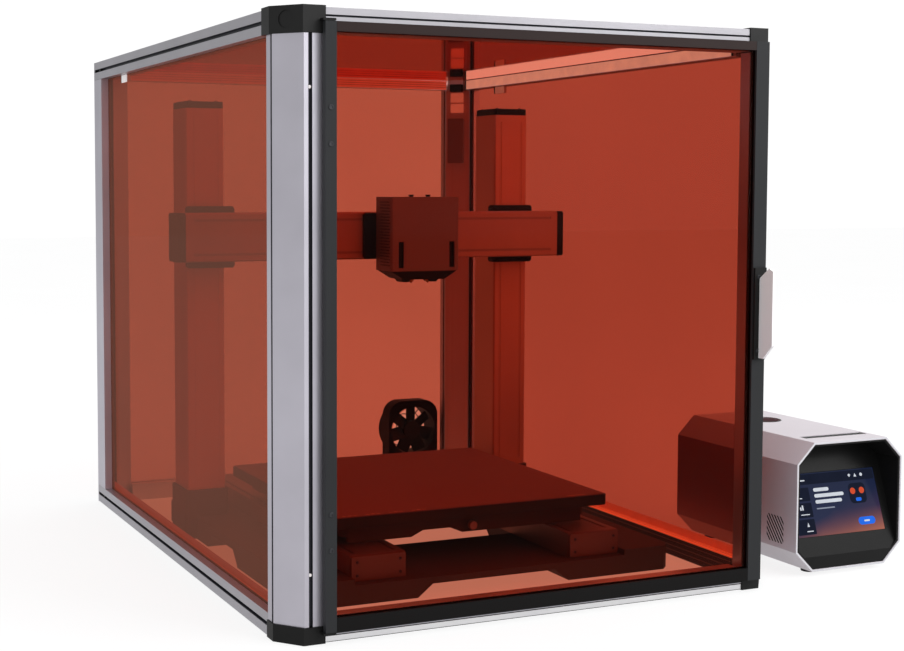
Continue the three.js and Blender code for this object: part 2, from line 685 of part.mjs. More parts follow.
// One of the two side castings: low under the Y module, higher along its outer edge, with a
// pedestal for the column, sloping inner ends at the front and back and an arch in its side.
function baseSide(name, isLeft) {
  const turn = (points) => (isLeft ? points : points.map(([x, v]) => [mirrored(x), v]).reverse());
  const step = Y_MODULE_LEFT - GAP;
  const upper = [
    [step, BASE_HEIGHT],
    [step, BASE_SIDE_HEIGHT],
    [BASE_LEFT, BASE_SIDE_HEIGHT],
  ];
  const endSection = [
    [BASE_LEFT, 0],
    [BASE_END_INNER, 0],
    [BEAM_LEFT, BEAM_UNDERSIDE],
    [BEAM_LEFT, BASE_HEIGHT],
    ...upper,
  ];
  const inner = Y_MODULE_LEFT + Y_MODULE_WIDTH;
  const middleSection = [[BASE_LEFT, 0], [inner, 0], [inner, BASE_HEIGHT], ...upper];
  const endShape = shapeOf(turn(endSection));
  const front = prism(endShape, "y", BASE_FRONT, FRONT_PLATE_BACK);
  const back = prism(endShape, "y", BASE_BACK - BASE_END_DEPTH, BASE_BACK);
  const middle = prism(shapeOf(turn(middleSection)), "y", BASE_FRONT + 1, BASE_BACK - 1);
  const [left, right] = [COLUMN_LEFT - PEDESTAL_MARGIN, COLUMN_LEFT + COLUMN_WIDTH + PEDESTAL_MARGIN];
  const [px0, px1] = isLeft ? [left, right] : mirroredSpan(left, right);
  const [py0, py1] = [COLUMN_FRONT - PEDESTAL_MARGIN, COLUMN_FRONT + COLUMN_DEPTH + PEDESTAL_MARGIN];
  const pedestal = prism(shapeOf(chamfered(px0, py0, px1, py1, 6)), "z", 0, COLUMN_BOTTOM);
  const arch = shapeOf([
    [ARCH_FRONT, -BEYOND],
    [ARCH_BACK, -BEYOND],
    [ARCH_BACK, 2],
    [ARCH_BACK - 20, ARCH_HEIGHT],
    [ARCH_FRONT + 20, ARCH_HEIGHT],
    [ARCH_FRONT, 2],
  ]);
  const corner = [
    [BASE_LEFT - 2, BASE_FRONT - 2],
    [BASE_LEFT + BASE_CORNER, BASE_FRONT - 2],
    [BASE_LEFT - 2, BASE_FRONT + BASE_CORNER],
  ];
  const bevel = prism(shapeOf(turn(corner)), "z", -BEYOND, BASE_SIDE_HEIGHT + BEYOND);
  const sideArch = prism(arch, "x", -BEYOND, WIDTH + BEYOND);
  return part(name, cut(join(front, middle, back, pedestal), sideArch, bevel), CAST_GREY);
}

// The plates that join the two castings at the front and back, clear of the floor.
function basePlate(name, y0, y1) {
  const left = BEAM_LEFT + GAP;
  return part(name, box([left, y0, BEAM_UNDERSIDE], [mirrored(left), y1, BASE_HEIGHT]), CAST_GREY);
}

// A linear module under the bed: a closed box with two belt slots along its top.
function yModule(name, x0) {
  const x1 = x0 + Y_MODULE_WIDTH;
  const z0 = BASE_HEIGHT + GAP;
  const [y0, y1] = [Y_MODULE_FRONT + Y_MODULE_END, Y_MODULE_BACK - Y_MODULE_END];
  const body = box([x0, Y_MODULE_FRONT, z0], [x1, Y_MODULE_BACK, Y_MODULE_TOP]);
  const slots = [x0 + BELT_SLOT_INSET, x1 - BELT_SLOT_INSET - BELT_SLOT].map((x) =>
    box([x, y0, Y_MODULE_TOP - BELT_SLOT_DEPTH], [x + BELT_SLOT, y1, Y_MODULE_TOP + BEYOND]),
  );
  const bore = box(
    [x0 + Y_MODULE_WALL, y0, z0 + Y_MODULE_WALL],
    [x1 - Y_MODULE_WALL, Y_MODULE_BACK + BEYOND, Y_MODULE_TOP - 2 * Y_MODULE_WALL],
  );
  return part(name, cut(body, bore, ...slots), ALUMINIUM);
}

// ---------- gantry ----------

function column(name, x0) {
  const [x1, y1] = [x0 + COLUMN_WIDTH, COLUMN_FRONT + COLUMN_DEPTH];
  const outline = chamfered(x0, COLUMN_FRONT, x1, y1, 2);
  const inset = MODULE_BORE_INSET;
  const bore = rectangle(x0 + inset, COLUMN_FRONT + inset, x1 - inset, y1 - inset);
  const tube = prism(shapeOf(outline, [bore]), "z", COLUMN_BOTTOM + GAP, COLUMN_TOP);
  const [z0, z1] = [COLUMN_BOTTOM + SLOT_END, COLUMN_TOP - SLOT_END];
  const slots = [x0 + BELT_SLOT_INSET, x1 - BELT_SLOT_INSET - BELT_SLOT].map((x) =>
    box([x, COLUMN_FRONT - BEYOND, z0], [x + BELT_SLOT, COLUMN_FRONT + BELT_SLOT_DEPTH, z1]),
  );
  return part(name, cut(tube, ...slots), ALUMINIUM);
}

function columnCap(name, x0) {
  const outline = chamfered(x0, COLUMN_FRONT, x0 + COLUMN_WIDTH, COLUMN_FRONT + COLUMN_DEPTH, 4);
  const z0 = COLUMN_TOP + GAP;
  return part(name, prism(shapeOf(outline), "z", z0, z0 + COLUMN_CAP), BLACK_PLASTIC);
}

function xModule() {
  const x0 = X_MODULE_LEFT + GAP;
  const x1 = mirrored(x0);
  const y1 = X_MODULE_FRONT + X_MODULE_DEPTH;
  const outline = chamfered(X_MODULE_FRONT, X_MODULE_BOTTOM, y1, X_MODULE_TOP, 2);
  const inset = MODULE_BORE_INSET;
  const bore = rectangle(X_MODULE_FRONT + inset, X_MODULE_BOTTOM + inset, y1 - inset, X_MODULE_TOP - inset);
  const tube = prism(shapeOf(outline, [bore]), "x", x0, x1);
  const slotZ = [X_MODULE_BOTTOM + BELT_SLOT_INSET, X_MODULE_TOP - BELT_SLOT_INSET - BELT_SLOT];
  const back = X_MODULE_FRONT + BELT_SLOT_DEPTH;
  const slots = slotZ.map((z) =>
    box([x0 + SLOT_END, X_MODULE_FRONT - BEYOND, z], [x1 - SLOT_END, back, z + BELT_SLOT]),
  );
  return part("x_module", cut(tube, ...slots), ALUMINIUM);
}

function xEndCap(name, x0) {
  const y1 = X_MODULE_FRONT + X_MODULE_DEPTH;
  const outline = chamfered(X_MODULE_FRONT, X_MODULE_BOTTOM, y1, X_MODULE_TOP, 3);
  return part(name, prism(shapeOf(outline), "x", x0, x0 + X_END_CAP), BLACK_PLASTIC);
}

// The carriage that joins the X module to a column. It reaches further in than out.
function zCarriage(name, isLeft) {
  const reach = [COLUMN_LEFT - CARRIAGE_OUTER, COLUMN_LEFT + COLUMN_WIDTH + CARRIAGE_INNER];
  const [x0, x1] = isLeft ? reach : mirroredSpan(...reach);
  const outline = chamfered(x0, CARRIAGE_BOTTOM, x1, CARRIAGE_TOP, 3);
  const y0 = X_MODULE_FRONT + X_MODULE_DEPTH + GAP;
  return part(name, prism(shapeOf(outline), "y", y0, COLUMN_FRONT - GAP), BLACK_PLASTIC);
}

// ---------- bed ----------

// The platform under the bed, with a skirt along its front edge and a shoe on each Y module.
// The skirt has one small arch, left of the middle.
function bedPlatform() {
  const x0 = CENTRE_X - BED_SIZE / 2 + PLATFORM_INSET;
  const x1 = mirrored(x0);
  const y0 = BED_FRONT + PLATFORM_INSET;
  const y1 = BED_FRONT + BED_SIZE - PLATFORM_INSET;
  const plateShape = shapeOf(chamfered(x0, y0, x1, y1, PLATFORM_CORNER));
  const plate = prism(plateShape, "z", PLATFORM_BOTTOM, BED_BOTTOM - GAP);
  const [a, b, c, d] = SKIRT_ARCH.map((u) => x0 + u);
  const skirtSection = [
    [x0 + PLATFORM_CORNER, SKIRT_BOTTOM],
    [a, SKIRT_BOTTOM],
    [b, SKIRT_ARCH_TOP],
    [c, SKIRT_ARCH_TOP],
    [d, SKIRT_BOTTOM],
    [x1 - PLATFORM_CORNER, SKIRT_BOTTOM],
    [x1 - PLATFORM_CORNER, SKIRT_ARCH_TOP + 2],
    [x0 + PLATFORM_CORNER, SKIRT_ARCH_TOP + 2],
  ];
  const skirt = prism(shapeOf(skirtSection), "y", y0, y0 + SKIRT_THICKNESS);
  const middle = (y0 + y1) / 2;
  const [shoeFront, shoeBack] = [middle - SHOE_HALF_LENGTH, middle + SHOE_HALF_LENGTH];
  const shoes = [Y_MODULE_LEFT, mirrored(Y_MODULE_LEFT) - Y_MODULE_WIDTH].map((x) =>
    box(
      [x + SHOE_INSET, shoeFront, Y_MODULE_TOP + GAP],
      [x + Y_MODULE_WIDTH - SHOE_INSET, shoeBack, PLATFORM_BOTTOM + 2],
    ),
  );
  return part("bed_platform", join(plate, skirt, ...shoes), CAST_GREY);
}

function heatedBed() {
  const x0 = CENTRE_X - BED_SIZE / 2;
  const outline = chamfered(x0, BED_FRONT, x0 + BED_SIZE, BED_FRONT + BED_SIZE, 5);
  return part("heated_bed", prism(shapeOf(outline), "z", BED_BOTTOM, BED_TOP), CAST_GREY);
}

function printSheet() {
  const x0 = CENTRE_X - BED_SIZE / 2 + 2;
  const y0 = BED_FRONT + 2;
  const side = BED_SIZE - 4;
  const outline = chamfered(x0, y0, x0 + side, y0 + side, 5);
  const z0 = BED_TOP + GAP;
  return part("print_sheet", prism(shapeOf(outline), "z", z0, z0 + SHEET_THICKNESS), BED_SURFACE);
}

// ---------- tool head ----------

// The plate that slides along the X module and carries the head. It reaches out to the left.
function toolCarriage() {
  const left = TOOL_LEFT - CARRIAGE_OVERHANG;
  const outline = chamfered(left, X_MODULE_BOTTOM + 1, TOOL_RIGHT - 3, X_MODULE_TOP - 1, 3);
  const plate = prism(shapeOf(outline), "y", TOOL_BACK + GAP, X_MODULE_FRONT - GAP);
  return part("tool_carriage", plate, BLACK_PLASTIC);
}

// The cover is a shell, open behind and below, with two slots low in its front.
function toolheadCover() {
  const outline = chamfered(TOOL_LEFT, TOOL_FRONT, TOOL_RIGHT, TOOL_BACK, [3, 3, 0, 0]);
  const body = prism(shapeOf(outline), "z", TOOL_BOTTOM, TOOL_TOP);
  const hollow = box(
    [TOOL_LEFT + TOOL_WALL, TOOL_FRONT + TOOL_WALL, TOOL_BOTTOM - BEYOND],
    [TOOL_RIGHT - TOOL_WALL, TOOL_BACK + BEYOND, TOOL_TOP - TOOL_WALL],
  );
  const [slotLeft, slotRight] = TOOL_SLOT_INSETS;
  const [z0, z1] = [TOOL_BOTTOM + 5, TOOL_BOTTOM + 5 + TOOL_SLOT_HEIGHT];
  const slots = [TOOL_LEFT + slotLeft, TOOL_RIGHT - slotRight - TOOL_SLOT_WIDTH].map((x) =>
    box([x, TOOL_FRONT - BEYOND, z0], [x + TOOL_SLOT_WIDTH, TOOL_FRONT + TOOL_WALL + BEYOND, z1]),
  );
  return part("toolhead_cover", cut(body, hollow, ...slots), ALUMINIUM);
}

// The core holds the extruders behind the cover and tapers below it to the two nozzles.
function toolheadDuct() {
  const inset = TOOL_WALL + 1;
  const x0 = TOOL_LEFT + inset;
  const x1 = TOOL_RIGHT - inset;
  const taper = [
    [x0, TOOL_BOTTOM + DUCT_CORE],
    [x0, TOOL_BOTTOM - 1],
    [x0 + DUCT_TAPER, DUCT_BOTTOM],
    [x1 - DUCT_TAPER, DUCT_BOTTOM],
    [x1, TOOL_BOTTOM - 1],
    [x1, TOOL_BOTTOM + DUCT_CORE],
  ];
  const core = prism(shapeOf(taper), "y", TOOL_FRONT + inset, TOOL_BACK - GAP);
  return part("toolhead_duct", core, BLACK_PLASTIC);
}

function nozzle(name, x) {
  const height = DUCT_BOTTOM - GAP - NOZZLE_TIP;
  const profile = [
    [0, 0],
    [0.8, 0],
    [3.4, 3.2],
    [4, 3.2],
    [4, height],
    [0, height],
  ];
  const lathe = new THREE.LatheGeometry(profile.map(([r, h]) => new THREE.Vector2(r, h)), 24);
  lathe.rotateX(Math.PI / 2);
  return part(name, lathe.translate(x, NOZZLE_Y, NOZZLE_TIP), BRASS);
}

// ---------- controller ----------

function controllerOutline(inset) {
  const right = CONTROLLER_LEFT + CONTROLLER_WIDTH;
  const c = CONTROLLER_CHAMFER - inset * (2 - Math.SQRT2);
  return chamfered(
    CONTROLLER_LEFT + inset,
    CONTROLLER_BOTTOM + inset,
    right - inset,
    CONTROLLER_TOP - inset,
    c,
  );
}

// Slanting vent slots low on the left side, cut off by a square.
function ventSlots() {
  const [x0, x1] = [CONTROLLER_LEFT - BEYOND, CONTROLLER_LEFT + CONTROLLER_WALL + BEYOND];
  const window = toManifold(box([x0, VENT_Y[0], VENT_Z[0]], [x1, VENT_Y[1], VENT_Z[1]]));
  const [middleY, middleZ] = [(VENT_Y[0] + VENT_Y[1]) / 2, (VENT_Z[0] + VENT_Z[1]) / 2];
  const reach = 40;
  return Array.from({ length: VENT_COUNT }, (_, i) => {
    const slot = box([x0, -VENT_WIDTH / 2, -reach], [x1, VENT_WIDTH / 2, reach]);
    slot.rotateX(-VENT_TILT);
    slot.translate(0, middleY + (i - (VENT_COUNT - 1) / 2) * VENT_PITCH, middleZ);
    return toGeometry(toManifold(slot).intersect(window));
  });
}

// An eight-sided tube on four feet, with the stop button's hole and a long recess in its top.
function controllerShell() {
  const y0 = CONTROLLER_FRONT;
  const y1 = y0 + CONTROLLER_LENGTH;
  const tube = prism(shapeOf(controllerOutline(0), [controllerOutline(CONTROLLER_WALL)]), "y", y0, y1);
  const right = CONTROLLER_LEFT + CONTROLLER_WIDTH;
  const footHeight = CONTROLLER_BOTTOM + 1;
  const feet = [CONTROLLER_LEFT + FOOT_INSET_X, right - FOOT_INSET_X].flatMap((x) =>
    [y0 + FOOT_INSET_Y, y1 - FOOT_INSET_Y].map((y) =>
      rod([x, y, footHeight / 2], "z", FOOT_RADIUS, footHeight, 24),
    ),
  );
  const top = CONTROLLER_TOP;
  const buttonHole = rod([BUTTON_X, BUTTON_Y, top], "z", BUTTON_RADIUS + 0.8, 30, 40);
  const recess = box(
    [TOP_RECESS.x[0], TOP_RECESS.y[0], top - TOP_RECESS.depth],
    [TOP_RECESS.x[1], TOP_RECESS.y[1], top + BEYOND],
  );
  return part("controller_shell", cut(join(tube, ...feet), buttonHole, recess, ...ventSlots()), ALUMINIUM);
}

// The bezel fills the front. It is hollowed back to a face that leans, so that the screen
// looks up a little.
function controllerBezel() {
  const y0 = CONTROLLER_FRONT + 1;
  const inset = CONTROLLER_WALL + GAP;
  const block = prism(shapeOf(controllerOutline(inset)), "y", y0, y0 + BEZEL_DEPTH);
  const innerShape = shapeOf(controllerOutline(inset + BEZEL_WALL));
  const opening = prism(innerShape, "y", y0 - BEYOND, y0 + BEZEL_DEPTH - 6);
  const right = CONTROLLER_LEFT + CONTROLLER_WIDTH;
  const inFront = leaning(box([CONTROLLER_LEFT, -400, -200], [right, 0, 400]));
  const hollow = toGeometry(toManifold(inFront).intersect(toManifold(opening)));
  const pocket = screenSlab(SCREEN_THICKNESS + 0.5, 0.6, 10);
  return part("controller_bezel", cut(block, hollow, pocket), BLACK_PLASTIC);
}

// Leans a shape back about the screen's lower front edge.
function leaning(geometry) {
  geometry.rotateX(-SCREEN_LEAN);
  return geometry.translate(0, CONTROLLER_FRONT + SCREEN_FOOT_Y, SCREEN_FOOT_Z);
}

// The screen's slab, grown by a margin and standing proud of the bezel's face.
function screenSlab(depth, margin, proud) {
  const middle = CONTROLLER_LEFT + CONTROLLER_WIDTH / 2 - 3;
  const slab = box(
    [middle - SCREEN_WIDTH / 2 - margin, -proud, -margin],
    [middle + SCREEN_WIDTH / 2 + margin, depth, SCREEN_HEIGHT + margin],
  );
  return leaning(slab);
}

function touchScreen() {
  return part("touch_screen", screenSlab(SCREEN_THICKNESS, 0, 0), SCREEN_GLASS);
}

// The rear plate has a hole for the rocker and a walled socket for the mains inlet.
function controllerRearPlate() {
  const y1 = CONTROLLER_FRONT + CONTROLLER_LENGTH - 1;
  const plate = prism(shapeOf(controllerOutline(CONTROLLER_WALL + GAP)), "y", y1 - REAR_PLATE, y1);
  const rockerHole = box(
    [ROCKER_X - 7.5, y1 - 9, ROCKER_Z - 11],
    [ROCKER_X + 7.5, y1 + BEYOND, ROCKER_Z + 11],
  );
  const grow = (wall, front, back) =>
    box([INLET_X[0] - wall, front, INLET_Z[0] - wall], [INLET_X[1] + wall, back, INLET_Z[1] + wall]);
  const socket = grow(INLET_WALL, y1 - INLET_DEPTH - 3, y1 - 1);
  const inlet = grow(0, y1 - INLET_DEPTH, y1 + BEYOND);
  return part("controller_rear_plate", cut(join(plate, socket), rockerHole, inlet), BLACK_PLASTIC);
}

function powerRocker() {
  const y1 = CONTROLLER_FRONT + CONTROLLER_LENGTH - 1;
  const paddle = box([-6, -4, -9.5], [6, 1.5, 9.5]);
  paddle.rotateX(ROCKER_TILT);
  return part("power_rocker", paddle.translate(ROCKER_X, y1, ROCKER_Z), BLACK_PLASTIC);
}

function stopButton() {
  const profile = [
    [0, 0],
    [BUTTON_RADIUS, 0],
    [BUTTON_RADIUS, BUTTON_HEIGHT - 2],
    [BUTTON_RADIUS - 1.5, BUTTON_HEIGHT - 0.5],
    [BUTTON_RADIUS - 6, BUTTON_HEIGHT],
    [0, BUTTON_HEIGHT],
  ];
  const lathe = new THREE.LatheGeometry(profile.map(([r, h]) => new THREE.Vector2(r, h)), 40);
  lathe.rotateX(Math.PI / 2);
  return part("stop_button", lathe.translate(BUTTON_X, BUTTON_Y, CONTROLLER_TOP - BUTTON_HEIGHT), BUTTON_RED);
}

// ---------- assembly ----------

const enclosure = group(
  frontPost("post_front_left", true),
  frontPost("post_front_right", false),
  rearPost("post_rear_left", true),
  rearPost("post_rear_right", false),
  cornerCap("top_corner_cap_left", true, true),
  cornerCap("top_corner_cap_right", false, true),
  cornerCap("bottom_corner_cap_left", true, false),
  cornerCap("bottom_corner_cap_right", false, false),
  sideRail("top_rail_left", true, true),
  sideRail("top_rail_right", false, true),
  sideRail("bottom_rail_left", true, false),
  sideRail("bottom_rail_right", false, false),
  crossRail("top_rail_front", true, true),
  crossRail("top_rail_rear", false, true),
  crossRail("bottom_rail_front", true, false),
  crossRail("bottom_rail_rear", false, false),
  sidePanel("left_panel", true),
  sidePanel("right_panel", false),
  rearPanel(),
  topPanel(),
  hingeBracket("lower_hinge_bracket", false),
  hingeBracket("upper_hinge_bracket", true),
  fanHousing(),
  fanRotor(),
);

const rightColumn = mirrored(COLUMN_LEFT) - COLUMN_WIDTH;
const base = group(
  baseSide("base_side_left", true),
  baseSide("base_side_right", false),
  basePlate("base_front_beam", BASE_FRONT, FRONT_PLATE_BACK),
  basePlate("base_rear_beam", BASE_BACK - BASE_END_DEPTH, BASE_BACK),
  yModule("y_module_left", Y_MODULE_LEFT),
  yModule("y_module_right", mirrored(Y_MODULE_LEFT) - Y_MODULE_WIDTH),
  column("z_column_left", COLUMN_LEFT),
  column("z_column_right", rightColumn),
  columnCap("column_cap_left", COLUMN_LEFT),
  columnCap("column_cap_right", rightColumn),
);

const bed = group(bedPlatform(), heatedBed(), printSheet());

const tool = group(
  toolCarriage(),
  toolheadCover(),
  toolheadDuct(),
  nozzle("nozzle_left", NOZZLE_X[0]),
  nozzle("nozzle_right", NOZZLE_X[1]),
);

const gantry = group(
  xModule(),
  xEndCap("x_end_cap_left", X_MODULE_LEFT - X_END_CAP),
  xEndCap("x_end_cap_right", mirrored(X_MODULE_LEFT)),
  zCarriage("z_carriage_left", true),
  zCarriage("z_carriage_right", false),
  tool,
);

const controller = group(
  controllerShell(),
  controllerBezel(),
  touchScreen(),
  controllerRearPlate(),
  powerRocker(),
  stopButton(),
);

const printer = group(enclosure, door(), base, bed, gantry, controller);
printer.position.set(-ORIGIN_X, -ORIGIN_Y, 0);

export default group(printer);
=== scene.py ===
# Looks, light and camera for the enclosed gantry printer and its free-standing controller.
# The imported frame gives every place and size; this script adds materials and fine detail.
import json
import math

import bmesh
import bpy
from mathutils import Matrix, Vector


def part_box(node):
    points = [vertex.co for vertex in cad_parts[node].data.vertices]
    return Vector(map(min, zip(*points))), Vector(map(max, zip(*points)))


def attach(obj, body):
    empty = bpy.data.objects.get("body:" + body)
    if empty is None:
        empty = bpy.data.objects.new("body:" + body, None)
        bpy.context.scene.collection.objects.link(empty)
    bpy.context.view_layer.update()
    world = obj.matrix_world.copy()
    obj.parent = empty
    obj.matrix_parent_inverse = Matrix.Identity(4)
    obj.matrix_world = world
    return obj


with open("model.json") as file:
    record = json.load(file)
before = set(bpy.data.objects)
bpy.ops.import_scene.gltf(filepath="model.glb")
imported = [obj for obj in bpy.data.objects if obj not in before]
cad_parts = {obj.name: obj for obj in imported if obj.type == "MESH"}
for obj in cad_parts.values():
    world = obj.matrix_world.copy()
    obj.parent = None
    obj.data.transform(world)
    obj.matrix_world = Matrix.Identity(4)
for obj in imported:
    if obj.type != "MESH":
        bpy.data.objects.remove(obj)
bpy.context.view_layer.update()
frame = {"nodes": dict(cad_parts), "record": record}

NODES = frame["nodes"]
CAP_PROUD = 1.5
cap_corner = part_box("bottom_corner_cap_left")[0]
ORIGIN = Vector((cap_corner.x, cap_corner.y, 0)) + Vector((CAP_PROUD, CAP_PROUD, 0)) / 1000

X = Vector((1, 0, 0))
Y = Vector((0, 1, 0))
Z = Vector((0, 0, 1))


# A point given in millimetres from the enclosure's front left bottom corner.
def at(x, y, z):
    return ORIGIN + Vector((x, y, z)) / 1000


# A node's lowest and highest corner, in the same millimetres.
def span(node):
    return [(corner - ORIGIN) * 1000 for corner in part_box(node)]


# ---------- materials ----------

RANGE_ENDS = ("From Min", "From Max", "To Min", "To Max")


class Look:
    """A material with a Principled shader and short ways to add nodes to it."""

    def __init__(self, name, colour=(0.5, 0.5, 0.5), rough=0.5, metal=0.0):
        self.mat = bpy.data.materials.new(name)
        self.mat.use_nodes = True
        self.tree = self.mat.node_tree
        self.tree.nodes.clear()
        self.out = self.add("ShaderNodeOutputMaterial")
        self.shader = self.add("ShaderNodeBsdfPrincipled")
        self.link(self.shader.outputs[0], self.out.inputs["Surface"])
        self.set("Base Color", (*colour, 1))
        self.set("Roughness", rough)
        self.set("Metallic", metal)
        self.coords = self.add("ShaderNodeTexCoord").outputs["Object"]

    def add(self, kind, **inputs):
        node = self.tree.nodes.new(kind)
        for key, value in inputs.items():
            node.inputs[key].default_value = value
        return node

    def link(self, source, target):
        self.tree.links.new(source, target)

    def set(self, socket, value):
        self.shader.inputs[socket].default_value = value

    def stretch(self, scale):
        mapping = self.add("ShaderNodeMapping")
        mapping.inputs["Scale"].default_value = scale
        self.link(self.coords, mapping.inputs["Vector"])
        return mapping.outputs[0]

    def noise(self, scale, detail=3.0, vector=None):
        node = self.add("ShaderNodeTexNoise", Scale=scale, Detail=detail, Roughness=0.55)
        self.link(vector or self.coords, node.inputs["Vector"])
        return node.outputs["Fac"]

    def spread(self, value, low, high, start=0.3, end=0.7):
        node = self.add("ShaderNodeMapRange")
        self.link(value, node.inputs["Value"])
        for key, number in zip(RANGE_ENDS, (start, end, low, high)):
            node.inputs[key].default_value = number
        return node.outputs["Result"]

    def math(self, operation, *values):
        node = self.add("ShaderNodeMath")
        node.operation = operation
        for socket, value in zip(node.inputs, values):
            if isinstance(value, (int, float)):
                socket.default_value = value
            else:
                self.link(value, socket)
        return node.outputs[0]

    def blend(self, factor, first, second):
        node = self.add("ShaderNodeMix")
        node.data_type = "RGBA"
        self.link(factor, node.inputs["Factor"])
        for index, value in ((6, first), (7, second)):
            if isinstance(value, tuple):
                node.inputs[index].default_value = (*value, 1)
            else:
                self.link(value, node.inputs[index])
        return node.outputs[2]

    def bump(self, height, strength, distance):
        node = self.add("ShaderNodeBump", Strength=strength, Distance=distance)
        self.link(height, node.inputs["Height"])
        self.link(node.outputs[0], self.shader.inputs["Normal"])

    def vary_colour(self, factor, first, second):
        self.link(self.blend(factor, first, second), self.shader.inputs["Base Color"])

    def vary_roughness(self, factor, low, high):
        self.link(self.spread(factor, low, high), self.shader.inputs["Roughness"])


def shade(colour, factor):
    return tuple(min(1.0, c * factor) for c in colour)


# Extruded and anodised aluminium: fine die lines along one axis over a slow tone change.
def extrusion(name, colour, rough, axis, metal=0.9, specular=0.5):
    look = Look(name, colour, rough, metal)
    look.set("Specular IOR Level", specular)
    fine = [900, 900, 900]
    fine["xyz".index(axis)] = 2
    lines = look.noise(1.0, 2.0, look.stretch(fine))
    cloud = look.noise(9, 3)
    look.vary_colour(look.spread(cloud, 0, 1), shade(colour, 0.94), shade(colour, 1.05))
    mixed = look.math("MULTIPLY_ADD", lines, 0.35, 0.33)
    look.vary_roughness(mixed, rough - 0.05, rough + 0.06)
    look.bump(lines, 0.06, 0.0001)
    return look.mat


# Blasted and anodised aluminium sheet, with an even fine grain.
def blasted(name, colour, rough, metal):
    look = Look(name, colour, rough, metal)
    speck = look.noise(2600, 2)
    cloud = look.noise(6, 4)
    look.vary_colour(look.spread(cloud, 0, 1), shade(colour, 0.95), shade(colour, 1.04))
    look.vary_roughness(speck, rough - 0.04, rough + 0.06)
    look.bump(speck, 0.16, 0.0001)
    return look.mat


# Moulded or powder coated surface with a soft leather-like grain.
def moulded(name, colour, rough, grain=1400, strength=0.2, tone=0.12, specular=0.3):
    look = Look(name, colour, rough)
    look.set("Specular IOR Level", specular)
    speck = look.noise(grain, 3)
    cloud = look.noise(14, 4)
    look.vary_colour(look.spread(cloud, 0, 1), shade(colour, 1 - tone), shade(colour, 1 + tone))
    look.vary_roughness(cloud, rough - 0.04, rough + 0.05)
    look.bump(speck, strength, 0.00012)
    return look.mat


# Turned metal, with fine rings about its axis.
def turned_metal(name, colour, rough, ring=6000):
    look = Look(name, colour, rough, 1.0)
    rings = look.noise(1.0, 2, look.stretch((200, 200, ring)))
    look.vary_colour(look.spread(rings, 0, 1), shade(colour, 0.86), shade(colour, 1.12))
    look.bump(rings, 0.15, 0.0001)
    return look.mat


# A surface that glows softly, such as a light's diffuser or a mark on a lit screen. A mark on
# the screen shows only its own light. Mirrored is the light that reflections of it show in
# place of its own; it is matched to the photograph and is not a property of the lamp.
# It also paints light onto parts that are no lamps: the pale clips and set screws, the rail strips
# and lips, and the sockets.
def glowing(name, colour, strength, lit=True, mirrored=None):
    look = Look(name, colour if lit else (0.002, 0.002, 0.002), 0.4)
    cloud = look.noise(50, 3)
    tint = look.blend(look.spread(cloud, 0, 1), shade(colour, 0.92), shade(colour, 1.08))
    if lit:
        look.link(tint, look.shader.inputs["Base Color"])
    else:
        look.set("Specular IOR Level", 0.0)
    look.set("Emission Strength", strength)
    if mirrored:
        glossy = look.add("ShaderNodeLightPath").outputs["Is Glossy Ray"]
        peak = max(mirrored)
        tint = look.blend(glossy, tint, tuple(c / peak for c in mirrored))
        power = look.math("MULTIPLY_ADD", glossy, peak - strength, strength)
        look.link(power, look.shader.inputs["Emission Strength"])
    look.link(tint, look.shader.inputs["Emission Color"])
    return look.mat


MIRRORED = (0.9, 0.9, 0.9)
MIRRORED_BELOW = (0.85, 0.31, 0.20)
HAZE_COLOUR = (1.0, 0.36, 0.22)


# Tinted clear sheet. The tint is what one whole sheet lets through; each of its two faces
# passes the square root of it, and a face mirrors only on its outer side. A sheet that lies
# flat has its own shares for its upper and lower face. Haze is a little scattered light.
def acrylic(name, tint, gloss=0.08, upper=0.0, lower=0.0, haze=0.0):
    look = Look(name, tint, 0.04)
    cloud = look.noise(3, 3)
    face = tuple(math.sqrt(c) for c in tint)
    clear = look.add("ShaderNodeBsdfTransparent")
    passed = look.blend(look.spread(cloud, 0, 1), shade(face, 0.985), shade(face, 1.015))
    look.link(passed, clear.inputs[0])
    side = look.add("ShaderNodeNewGeometry")
    outer = look.math("SUBTRACT", 1.0, side.outputs["Backfacing"])
    split = look.add("ShaderNodeSeparateXYZ")
    look.link(side.outputs["Normal"], split.inputs[0])
    upward = look.math("GREATER_THAN", split.outputs[2], 0.5)
    downward = look.math("LESS_THAN", split.outputs[2], -0.5)
    mirror = look.add("ShaderNodeBsdfGlossy")
    look.link(look.spread(look.noise(40, 4), 0.015, 0.05), mirror.inputs["Roughness"])
    look.link(look.blend(downward, MIRRORED, MIRRORED_BELOW), mirror.inputs["Color"])
    fresnel = look.add("ShaderNodeFresnel", IOR=1.49)
    strength = look.math("MULTIPLY_ADD", upward, upper, gloss)
    strength = look.math("MULTIPLY_ADD", downward, lower, strength)
    share = look.math("MULTIPLY", look.math("MULTIPLY", fresnel.outputs[0], outer), strength)
    scatter = look.add("ShaderNodeBsdfDiffuse")
    hazy = look.blend(look.spread(cloud, 0, 1), HAZE_COLOUR, shade(HAZE_COLOUR, 0.94))
    look.link(hazy, scatter.inputs[0])
    milky = look.add("ShaderNodeMixShader")
    look.link(look.math("MULTIPLY", outer, haze), milky.inputs[0])
    look.link(clear.outputs[0], milky.inputs[1])
    look.link(scatter.outputs[0], milky.inputs[2])
    mix = look.add("ShaderNodeMixShader")
    look.link(share, mix.inputs[0])
    look.link(milky.outputs[0], mix.inputs[1])
    look.link(mirror.outputs[0], mix.inputs[2])
    look.link(mix.outputs[0], look.out.inputs["Surface"])
    look.tree.nodes.remove(look.shader)
    return look.mat


